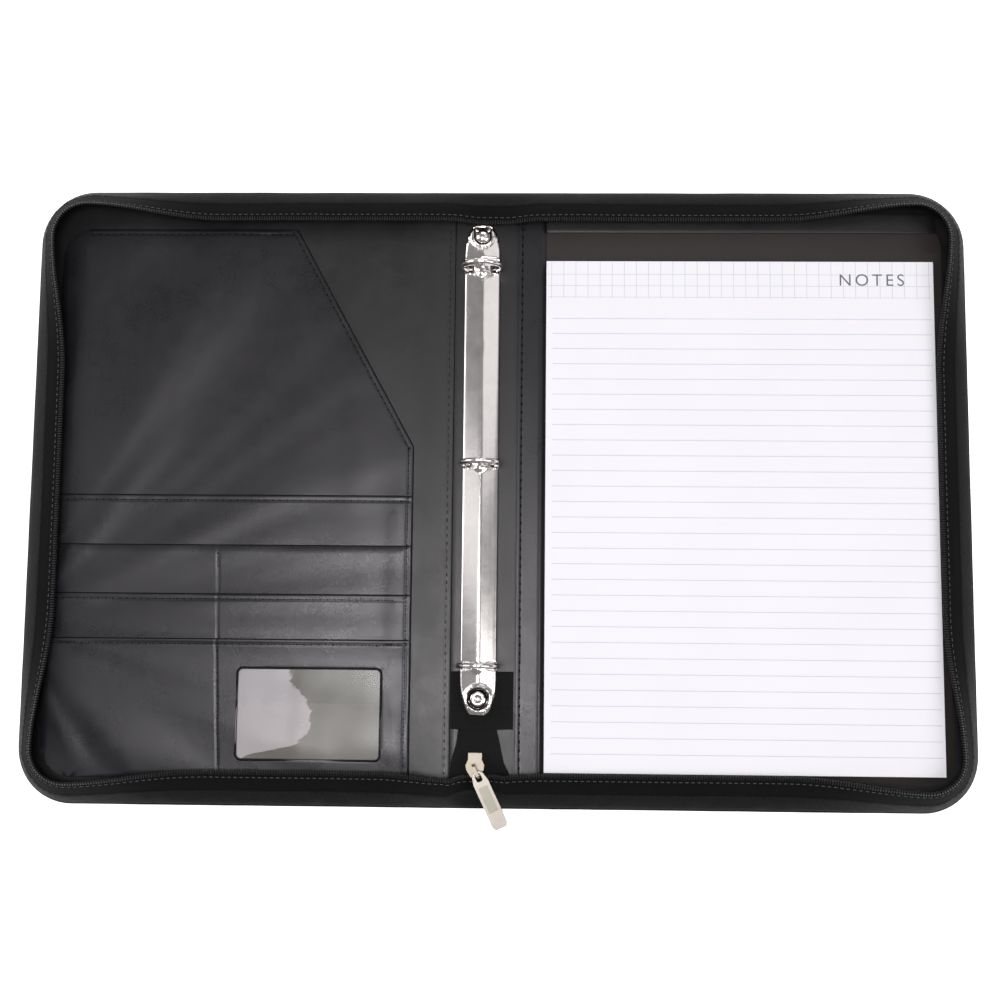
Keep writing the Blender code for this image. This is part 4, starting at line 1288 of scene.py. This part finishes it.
# ---- Memo pad ----
PAD_LEFT = 0.0262
PAD_RIGHT = 0.2360
PAD_TOP = 0.1273
PAD_BOTTOM = -0.1485
BACKING_RIGHT = 0.2420
BACKING_TOP = 0.1530
BACKING_BOTTOM = -0.1540
backing = panel(
    "pad_backing", [rounded_outline(PAD_LEFT, BACKING_RIGHT, BACKING_BOTTOM, BACKING_TOP,
                                    (POCKET_CORNER, POCKET_CORNER, 0, 0), 12)],
    0.0015, lambda x, y: 0.0047, BACKING, (0.02, 0.02), (), 0.0003)
place_piece(backing, "back_cover", "backing_board", "pad_board")


def page_curl(x, y):
    """The top sheet lifts a little towards its lower right corner."""
    corner = smooth_step((x - 0.12) / 0.12) * smooth_step((-0.02 - y) / 0.13)
    return 0.0006 * corner + 0.00010 * (1 + noise.noise(Vector((x * 10.0, y * 10.0, 7.0))))


def page_block():
    """The pad's sheets: the sides show them as fine layers."""
    layers = 14
    bottom_z = 0.0065
    height = 0.0042
    vertices = []
    rings = []
    outline = rounded_outline(PAD_LEFT, PAD_RIGHT, PAD_BOTTOM, PAD_TOP, (0.0003,) * 4, 2)
    for i in range(2 * layers + 1):
        z = bottom_z + height * i / (2 * layers)
        shrink = 0.00009 if i % 2 == 0 else 0.0
        shift = 0.00022 * noise.noise(Vector((i * 0.37, 2.0, 5.0)))
        ring = []
        for x, y in outline:
            cx, cy = (PAD_LEFT + PAD_RIGHT) / 2, (PAD_BOTTOM + PAD_TOP) / 2
            ring.append(len(vertices))
            vertices.append((x - math.copysign(shrink, x - cx) + shift * 0.4,
                y - math.copysign(shrink, y - cy) + shift, z))
        rings.append(ring)
    faces = [tuple(rings[0]), tuple(rings[-1])[::-1]]
    for before, after in zip(rings, rings[1:]):
        for k in range(len(outline)):
            j = (k + 1) % len(outline)
            faces.append((before[k], after[k], after[j], before[j]))
    return solid("pad_block", vertices, faces, PAPER_EDGE, 20.0)


place_piece(page_block(), "back_cover", "paper", "pad_paper")
SHEET_LOW = 0.0110
top_sheet = panel(
    "pad_page", [rounded_outline(PAD_LEFT, PAD_RIGHT, PAD_BOTTOM, PAD_TOP, (0, 0, 0, 0))],
    0.0002, lambda x, y: SHEET_LOW + page_curl(x, y), PAPER, (0.007, 0.007), (), 0)
place_piece(top_sheet, "back_cover", "paper", "pad_top_sheet")


def on_page(x, y):
    return SHEET_LOW + 0.0002 + page_curl(x, y)


def ink_lines(name, lines, width, material):
    """Printed lines: thin raised ribbons on the page."""
    vertices = []
    faces = []
    for (ax, ay), (bx, by) in lines:
        length = math.hypot(bx - ax, by - ay)
        nx, ny = -(by - ay) / length * width / 2, (bx - ax) / length * width / 2
        count = max(1, round(length / 0.007))
        rings = []
        for i in range(count + 1):
            x = ax + (bx - ax) * i / count
            y = ay + (by - ay) * i / count
            ring = []
            for sx, lift in ((1, -0.00005), (1, 0.00003), (-1, 0.00003), (-1, -0.00005)):
                ring.append(len(vertices))
                px, py = x + nx * sx, y + ny * sx
                vertices.append((px, py, on_page(px, py) + lift))
            rings.append(ring)
        faces += [tuple(rings[0]), tuple(rings[-1])[::-1]]
        for before, after in zip(rings, rings[1:]):
            for k in range(4):
                j = (k + 1) % 4
                faces.append((before[k], after[k], after[j], before[j]))
    return solid(name, vertices, faces, material, 80.0)


RULE_FIRST = 0.0953
RULE_LAST = -0.1386
RULE_COUNT = 29
rules = []
for i in range(RULE_COUNT):
    y = RULE_FIRST + (RULE_LAST - RULE_FIRST) * i / (RULE_COUNT - 1)
    rules.append(((0.0297, y), (0.2345, y)))
place_piece(ink_lines("pad_ruled_lines", rules, 0.00042, LINE_INK), "back_cover", "paper")
CELL = 0.0066
grid_low = 0.1073
grid = []
for i in range(3):
    grid.append(((0.0268, grid_low + i * 0.00635), (0.2350, grid_low + i * 0.00635)))
for i in range(32):
    x = 0.0290 + i * CELL
    if x < 0.2350:
        grid.append(((x, grid_low - 0.0006), (x, 0.1271)))
place_piece(ink_lines("pad_header_grid", grid, 0.00026, GRID_INK), "back_cover", "paper")


def heading(words, right, base, size):
    """A plain generic heading, spaced wide."""
    curve = bpy.data.curves.new("pad_heading_text", "FONT")
    curve.body = words
    curve.size = size
    curve.space_character = 1.32
    curve.align_x = "RIGHT"
    curve.extrude = 0.00004
    curve.offset = -size * 0.004
    text = bpy.data.objects.new("pad_heading_text", curve)
    bpy.context.scene.collection.objects.link(text)
    text.location = (right, base, 0)
    bpy.context.view_layer.update()
    graph = bpy.context.evaluated_depsgraph_get()
    mesh = bpy.data.meshes.new_from_object(text.evaluated_get(graph))
    mesh.transform(text.matrix_world)
    bpy.data.objects.remove(text)
    bpy.data.curves.remove(curve)
    for vertex in mesh.vertices:
        vertex.co.z += on_page(vertex.co.x, vertex.co.y) + 0.00002
    mesh.materials.clear()
    mesh.name = "pad_heading"
    return link("pad_heading", mesh, HEAD_INK)


place_piece(heading("NOTES", 0.2205, 0.1140, 0.0094), "back_cover", "paper")

# The strip that the pad's board slides under, and its slit
strip = panel(
    "pad_top_strip_sheet",
    [rounded_outline(PAD_LEFT, 0.2390, 0.1446, 0.1560, (0, 0, 0, 0))], 0.0009,
    lambda x, y: 0.0065 + 0.00012 * noise.noise(Vector((x * 18.0, y * 18.0, 3.0))), INNER,
    (0.006, 0.002), (), 0.0003)
place_piece(strip, "back_cover", "inner_leather", "pad_top_strip")

SIDE_LEFT = 0.0105
SIDE_RIGHT = 0.0236
side_seam = Seams([((0.0130, -0.152), (0.0130, 0.152))], 0.00016, 0.0009)


def side_height(x, y):
    return 0.0047 + spine_rise(x, y) + side_seam.groove(x,
        y) + 0.00025 * (1 + noise.noise(Vector((x * 30.0, y * 11.0, 1.0))))


def flap_height(x, y):
    return side_height(SIDE_RIGHT,
        y) + 0.0001 - 0.0007 * smooth_step((x - SIDE_RIGHT) / (PAD_LEFT - SIDE_RIGHT))


flap = panel(
    "pad_side_flap_sheet",
    [rounded_outline(SIDE_RIGHT - 0.0004, PAD_LEFT + 0.0001, BACKING_BOTTOM, 0.1560, (0, 0, 0, 0))],
    0.0007, flap_height, POCKET, (0.0005, 0.0045), (), 0)
bend_piece(flap, "back_cover", "spine", PAD_LEFT, SIDE_RIGHT - 0.0004, "inner_leather")
side_strip = panel(
    "pad_side_strip_sheet",
    [rounded_outline(SIDE_LEFT, SIDE_RIGHT, BACKING_BOTTOM, 0.1560, (0, 0, 0, 0))], 0.0008,
    side_height, POCKET, (0.0022, 0.0045), side_seam.cuts(), 0.00026)
place_piece(side_strip, "spine", "inner_leather", "pad_side_strip")
place_piece(
    stitch_run("side_strip_stitches",
               [line_points((0.0130, -0.1515), (0.0130, 0.1515), lambda x,
               y: side_height(x, y) + 0.00085)],
               0.0046, 0.50, 0.00034, BLACK_THREAD, 6, 0.00085),
    "spine", "inner_leather")


# ---- Ring mechanism ----
PLATE_TOP_Y = 0.1475
PLATE_BOTTOM_Y = -0.1190
PLATE_HALF = 0.00975
ROOF_MARKS = (0.0, 0.10, 0.16, 0.50, 0.84, 0.95, 1.0)
ROOF_RISES = (1.0, 0.965, 0.91, 0.60, 0.27, 0.12, 0.0)


def roof(share):
    share = min(1.0, abs(share))
    for (a, ra), (b, rb) in zip(zip(ROOF_MARKS, ROOF_RISES), zip(ROOF_MARKS[1:], ROOF_RISES[1:])):
        if share <= b:
            return ra + (rb - ra) * (share - a) / (b - a)
    return 0.0


def plate_height(x, y):
    """Top of the sheath: a low roof with bosses, a cross crease and raised rims round its holes."""
    z = 0.0083 + 0.0026 * roof((x - RING_X) / PLATE_HALF)
    dx = x - RING_X
    for ring_y in RING_Y:
        dy = y - (ring_y - 0.0010)
        knob = (dx / 0.0034) ** 2 + (dy / 0.0030) ** 2
        if knob < 1:
            z += 0.00085 * math.sqrt(1 - knob)
    z += 0.00045 * math.exp(-((y - 0.1288) / 0.00055) ** 2) - 0.00020 * math.exp(-((y
        - 0.1276) / 0.0006) ** 2)
    round_rivet = math.hypot(dx, y - 0.1415)
    z += 0.00040 * math.exp(-((round_rivet - 0.0060) / 0.0007) ** 2)
    round_post = math.hypot(dx, y + 0.1105)
    z += 0.00055 * math.exp(-((round_post - 0.0068) / 0.0007) ** 2)
    dent = math.hypot(dx + 0.0015, y - 0.0795)
    z -= 0.00025 * math.exp(-(dent / 0.0022) ** 2)
    return z


END_TOP = (0.0035, 0.00625, 0.0170)
END_BOTTOM = (0.0030, 0.00675, 0.0200)


def rim_distance(x, y):
    """How far a place on the sheath lies inside its outer rim."""
    dx = abs(x - RING_X)
    if y > PLATE_TOP_Y - END_TOP[2]:
        flat, wide, long = END_TOP
        run = y - (PLATE_TOP_Y - long)
    elif y < PLATE_BOTTOM_Y + END_BOTTOM[2]:
        flat, wide, long = END_BOTTOM
        run = PLATE_BOTTOM_Y + long - y
    else:
        return PLATE_HALF - dx
    ex = max(0.0, dx - flat) / wide
    ey = run / long
    reach = math.hypot(ex, ey)
    if reach < 0.2:
        return PLATE_HALF - dx
    return (1 - reach) * reach / math.hypot(ex / wide, ey / long)


def sheath_height(x, y):
    """The sheath's top, rolled over at its rim."""
    near = min(1.0, max(0.0, 1 - rim_distance(x, y) / 0.0008))
    return plate_height(x, y) - 0.0008 * (1 - math.sqrt(1 - near * near))


def plate_side(sign, breaks):
    """Places down one long side of the sheath, from its top end to its bottom end."""
    points = []
    for x, y in arc_points((0, 0), 1, 90, 0, 14):
        points.append((RING_X + sign * (END_TOP[0] + END_TOP[1] * x),
            PLATE_TOP_Y - END_TOP[2] + END_TOP[2] * y))
    edge = RING_X + sign * PLATE_HALF
    for ring_y in RING_Y:
        points += breaks(sign, edge, ring_y)
    for x, y in arc_points((0, 0), 1, 0, -90, 14):
        points.append((RING_X + sign * (END_BOTTOM[0] + END_BOTTOM[1] * x),
            PLATE_BOTTOM_Y + END_BOTTOM[2] + END_BOTTOM[2] * y))
    return points


def notch_points(sign, edge, ring_y):
    """The outline's way round one notch, with rounded inner corners."""
    near = RING_X + sign * NOTCH_IN
    points = [(edge, ring_y + NOTCH_HALF)]
    for turn in range(0, 91, 30):
        angle = math.radians(turn)
        points.append((near + sign * 0.0008 * (1 - math.sin(angle)),
            ring_y + NOTCH_HALF - 0.0008 * (1 - math.cos(angle))))
    for turn in range(90, -1, -30):
        angle = math.radians(turn)
        points.append((near + sign * 0.0008 * (1 - math.sin(angle)),
            ring_y - NOTCH_HALF + 0.0008 * (1 - math.cos(angle))))
    points.append((edge, ring_y - NOTCH_HALF))
    return points


NOTCH_IN = 0.0043
NOTCH_HALF = 0.0022
RIVET_Y = 0.1415
RIVET_CUT = 0.0050
right_side = [p for p in plate_side(1, notch_points) if p[0] > RING_X + RIVET_CUT or p[1] < 0.14]
left_side = [p for p in plate_side(-1, notch_points) if p[0] < RING_X - RIVET_CUT or p[1] < 0.14]
slot_top = 0.1470
plan = [(RING_X + RIVET_CUT, slot_top)] + right_side[:-1] + left_side[::-1] + [(RING_X - RIVET_CUT,
    slot_top)]
plan += arc_points((RING_X, RIVET_Y), RIVET_CUT, 180, 360, 28)
hole = arc_points((RING_X, -0.1105), 0.0060, 0, 352.5, 47)
cuts = []
for centre, run in ((0.1288, 0.0028), (0.1415, 0.0060), (-0.1105, 0.0090),
        *((y - 0.001, 0.0036) for y in RING_Y)):
    steps = round(run / 0.0004)
    cuts += [((0, centre - run + 2 * run * i / steps, 0), (0, 1, 0)) for i in range(steps + 1)]
for inset in (0.00012, 0.0003, 0.00055, 0.0008):
    for sign in (-1, 1):
        cuts.append(((RING_X + sign * (PLATE_HALF - inset), 0, 0), (1, 0, 0)))
cuts += [((RING_X + shift, 0, 0), (1, 0, 0)) for shift in (-0.0004, -0.0002, 0.0, 0.0002, 0.0004)]
sheath = panel("ring_sheath", [plan, hole], 0.0007, lambda x, y: sheath_height(x, y) - 0.0007, CHROME,
               (0.0009, 0.0030), cuts, 0.00012, 30.0)
place_piece(sheath, "spine", "chrome", "ring_plate")


def plain_side(sign, edge, ring_y):
    """The skirt's way past one notch: its top drops below the ring."""
    step = 0.0002
    return [(edge, ring_y + NOTCH_HALF + step), (edge, ring_y + NOTCH_HALF),
        (edge, ring_y - NOTCH_HALF),
            (edge, ring_y - NOTCH_HALF - step)]


def sheath_skirt():
    """The turned-down rim of the sheath."""
    loop = plate_side(1, plain_side)[:-1] + plate_side(-1, plain_side)[::-1]
    vertices = []
    rings = []
    for i, (x, y) in enumerate(loop):
        before, after = loop[i - 1], loop[(i + 1) % len(loop)]
        nx, ny = after[1] - before[1], before[0] - after[0]
        length = math.hypot(nx, ny)
        nx, ny = nx / length, ny / length
        if nx * (x - RING_X) + ny * y * 0.05 < 0:
            nx, ny = -nx, -ny
        in_notch = any(abs(y - ring_y) < NOTCH_HALF + 0.0001 for ring_y in RING_Y)
        top = 0.0068 if in_notch else sheath_height(x, y) - 0.0001
        ring = []
        for inset, z in ((0.0, 0.0056), (0.0, top), (0.0006, top - 0.0001), (0.0006, 0.0056)):
            ring.append(len(vertices))
            vertices.append((x - nx * inset, y - ny * inset, z))
        rings.append(ring)
    faces = []
    for i, before in enumerate(rings):
        after = rings[(i + 1) % len(rings)]
        for k in range(4):
            j = (k + 1) % 4
            faces.append((before[k], before[j], after[j], after[k]))
    return solid("ring_sheath_skirt", vertices, faces, CHROME, 30.0)


place_piece(sheath_skirt(), "spine", "chrome")


def dome_profile(base, foot, neck, head, under, crown, steps=9):
    """Rivet profile: a neck under a rounded head."""
    points = [(0, base), (foot, base), (neck, base + 0.0010), (neck, under), (head, under + 0.0003)]
    for i in range(1, steps + 1):
        angle = math.pi / 2 * i / steps
        points.append((head * math.cos(angle),
            under + 0.0003 + (crown - under - 0.0003) * math.sin(angle)))
    points[-1] = (0, crown)
    return points


rivet = turned("rivet_dome", dome_profile(0.0056, 0.0034, 0.0030, 0.0043, 0.0082, 0.01145),
    (RING_X, 0.1415), CHROME)
place_piece(rivet, "spine", "chrome", "ring_rivet_top")
for sign in (-1, 1):
    tip_x = RING_X + sign * 0.0031
    side = "left" if sign < 0 else "right"
    outline = [(tip_x - sign * 0.0010, 0.1446), (tip_x + sign * 0.0010, 0.1442),
        (tip_x + sign * 0.0013, 0.1462),
               (tip_x + sign * 0.0002, 0.1470)]
    horn = cutter("rivet_prong_" + side, outline, 0.0060, 0.0094)
    horn.data.materials.append(CHROME)
    bevelled(horn, 0.0004, 3)
    place_piece(horn, "spine", "chrome")
post_profile = [
    (0, 0.0056), (0.0058, 0.0056), (0.0056, 0.0060), (0.0050, 0.0064), (0.0045, 0.0072),
    (0.0042, 0.0084), (0.0041, 0.0096),
    (0.0038, 0.0103), (0.0030, 0.0107), (0.0022, 0.0106), (0.0016, 0.0102), (0, 0.0101),
]
post = turned("post_bell", post_profile, (RING_X, -0.1105), CHROME)
place_piece(post, "spine", "chrome", "ring_post_bottom")


def half_ring(name, sign, centre_y, sides=18, steps=44):
    """Half of a ring, from its joint at the top outward and down to its foot; the joint tapers a little."""
    start = 90.0 + 0.9
    end = 180.0 + 52.0
    vertices = []
    rings = []
    for step in range(steps + 1):
        angle = math.radians(start + (end - start) * step / steps)
        wire = 0.00145 * (0.90 + 0.10 * smooth_step(step / 2.0))
        ring = []
        for side in range(sides):
            turn = 2 * math.pi * side / sides
            radius = 0.0102 + wire * math.cos(turn)
            ring.append(len(vertices))
            vertices.append((RING_X - sign * radius * math.cos(angle), centre_y + wire * math.sin(turn),
                             0.0160 + radius * math.sin(angle)))
        rings.append(ring)
    faces = [tuple(rings[0]), tuple(rings[-1])[::-1]]
    for before, after in zip(rings, rings[1:]):
        for i in range(sides):
            j = (i + 1) % sides
            faces.append((before[i], before[j], after[j], after[i]))
    return solid(name, vertices, faces, CHROME, 50.0)


for side, sign in (("left", -1), ("right", 1)):
    for number, y in enumerate(RING_Y, start=1):
        half = half_ring("half_ring_%s_%d" % (side, number), sign, y)
        place_piece(half, "ring_" + side, "chrome", "ring_%s_%d" % (side, number))
    # The blades take the darker chrome copy: painted shade under the sheath.
    nodes["ring_blade_" + side].data.materials.clear()
    nodes["ring_blade_" + side].data.materials.append(PAINTED_SHADE_CHROME)

# ---- Zip tab, slider and puller ----
tab_outline = [
    (0.0098, -0.0960), (-0.0236, -0.0960), (-0.0236, -0.1265), (-0.0195, -0.1267), (-0.0204, -0.1340),
    (-0.0232, -0.1440),
    (-0.0236, -0.1500), (-0.0236, -0.1550), (0.0090, -0.1550), (0.0080, -0.1500), (0.0050, -0.1440),
    (0.0028, -0.1340),
    (0.0012, -0.1267), (0.0098, -0.1265),
]


def tab_height(x, y):
    fold = 0.0004 * math.exp(-((y + 0.1262) / 0.0008) ** 2)
    ribs = 0.00004 * math.sin(2 * math.pi * y / 0.0011)
    pull = 0.00030 * smooth_step((-0.128 - y) / 0.015) * (1
        + noise.noise(Vector((x * 90.0, y * 60.0, 2.0))))
    return 0.0047 + spine_rise(x, y) + fold + ribs + pull


tab = panel("zip_tab_sheet", [tab_outline], 0.0006, tab_height, RIBBED, (0.0022, 0.00065), (), 0.00015)
place_piece(tab, "spine", "zipper_tape", "spine_zip_tab")


for name, finish, width in (("slider_body", SLIDER_NICKEL, 0.00030), ("puller", NICKEL, 0.00032)):
    thing = nodes[name]
    thing.data.materials.clear()
    thing.data.materials.append(finish)
    ease = thing.modifiers.new("ease", "BEVEL")
    ease.width = width
    ease.segments = 3
    ease.limit_method = "ANGLE"
    ease.angle_limit = math.radians(40)
    for face in thing.data.polygons:
        face.use_smooth = False

PULLER_PIVOT = Vector((-0.0085, -0.1500, 0.0137))
PULLER_YAW = 25.0
PULLER_DROP = 6.5
INLAY_FROM_PIVOT = (0.0065, 0.0209)
INLAY_HALF = 0.0026
INLAY_CORNER = 0.0006
INLAY_LAYER = (0.00030, 0.00048)
yaw = math.radians(PULLER_YAW)
drop = math.radians(PULLER_DROP)
forward = Vector((math.sin(yaw), -math.cos(yaw), 0))
across = Vector((math.cos(yaw), math.sin(yaw), 0))
along = forward * math.cos(drop) - Vector((0, 0, math.sin(drop)))
normal = forward * math.sin(drop) + Vector((0, 0, math.cos(drop)))


def puller_plate(name, outline, low, high, material):
    """A thin plate that lies on the puller, its outline measured along and across it."""
    count = len(outline)
    vertices = [PULLER_PIVOT + along * u + across * v + normal * w for w in (low, high) for u,
        v in outline]
    faces = [tuple(range(count)), tuple(range(count, 2 * count))]
    faces += [(i, (i + 1) % count, (i + 1) % count + count, i + count) for i in range(count)]
    return place_piece(solid(name, vertices, faces, material), "puller", "nickel")


inlay = rounded_outline(*INLAY_FROM_PIVOT, -INLAY_HALF, INLAY_HALF, (INLAY_CORNER,) * 4, 4)
puller_plate("puller_inlay", inlay, *INLAY_LAYER, WORN_NICKEL)

# ---- Floor, light and camera ----
floor_mesh = bpy.data.meshes.new("floor")
floor_mesh.from_pydata([(-3, -3, -0.0004), (3, -3, -0.0004), (3, 3, -0.0004), (-3, 3, -0.0004)], [],
    [(0, 1, 2, 3)])
floor_material, tree, shader = new_material("pale_floor")
cloud = noise_node(tree, place_of(tree), 3.0, 3.0, 0.5)
floor_tone = ramp(tree, cloud, [(0.3, (0.93, 0.93, 0.93)), (0.7, (0.96, 0.96, 0.96))])
tree.links.new(floor_tone, shader.inputs["Base Color"])
shader.inputs["Roughness"].default_value = 0.9
shader.inputs["Emission Color"].default_value = (1, 1, 1, 1)
shader.inputs["Emission Strength"].default_value = 0.62
floor = link("floor", floor_mesh, floor_material)


def soft_box(name, place, target, size, power, colour=(1, 1, 1)):
    lamp = bpy.data.lights.new(name, "AREA")
    lamp.shape = "RECTANGLE"
    lamp.size = size[0]
    lamp.size_y = size[1]
    lamp.energy = power
    lamp.color = colour
    thing = bpy.data.objects.new(name, lamp)
    thing.location = place
    thing.rotation_euler = (Vector(target) - Vector(place)).to_track_quat("-Z", "Y").to_euler()
    bpy.context.scene.collection.objects.link(thing)
    return thing


soft_box("overhead_box", (-0.10, -0.14, 1.25), (-0.03, -0.06, 0), (0.30, 0.42), 6.0)
soft_box("left_box", (-1.75, 0.4, 0.95), (0, 0, 0), (1.1, 1.2), 13.0)
soft_box("left_card", (-0.88, 0.15, 1.25), (0, 0, 0), (0.26, 1.5), 0.95)
soft_box("right_card_low", (0.76, -0.35, 1.25), (0, 0, 0), (0.46, 0.8), 2.2)
soft_box("right_card_high", (0.76, 0.5, 1.25), (0, 0, 0), (0.46, 0.8), 0.8)
soft_box("right_box", (1.45, -0.5, 1.2), (0.05, 0, 0), (0.8, 0.8), 9.0)
soft_box("back_box", (0.2, 1.6, 1.3), (0, 0, 0), (1.4, 0.7), 8.0)

world = bpy.data.worlds.new("room")
world.use_nodes = True
backdrop = world.node_tree.nodes["Background"]
backdrop.inputs["Color"].default_value = (0.985, 0.99, 1.0, 1)
backdrop.inputs["Strength"].default_value = 0.23
bpy.context.scene.world = world

lens = bpy.data.cameras.new("camera")
lens.lens = 50.4
lens.sensor_width = 36
camera = bpy.data.objects.new("camera", lens)
camera.location = (0.0200, -0.0886, 0.7583)
camera.rotation_euler = (math.radians(6.44), math.radians(1.33), math.radians(0.54))
bpy.context.scene.collection.objects.link(camera)
bpy.context.scene.camera = camera
bpy.context.scene.view_settings.view_transform = "Standard"
bpy.context.scene.view_settings.look = "None"

bpy.context.view_layer.update()
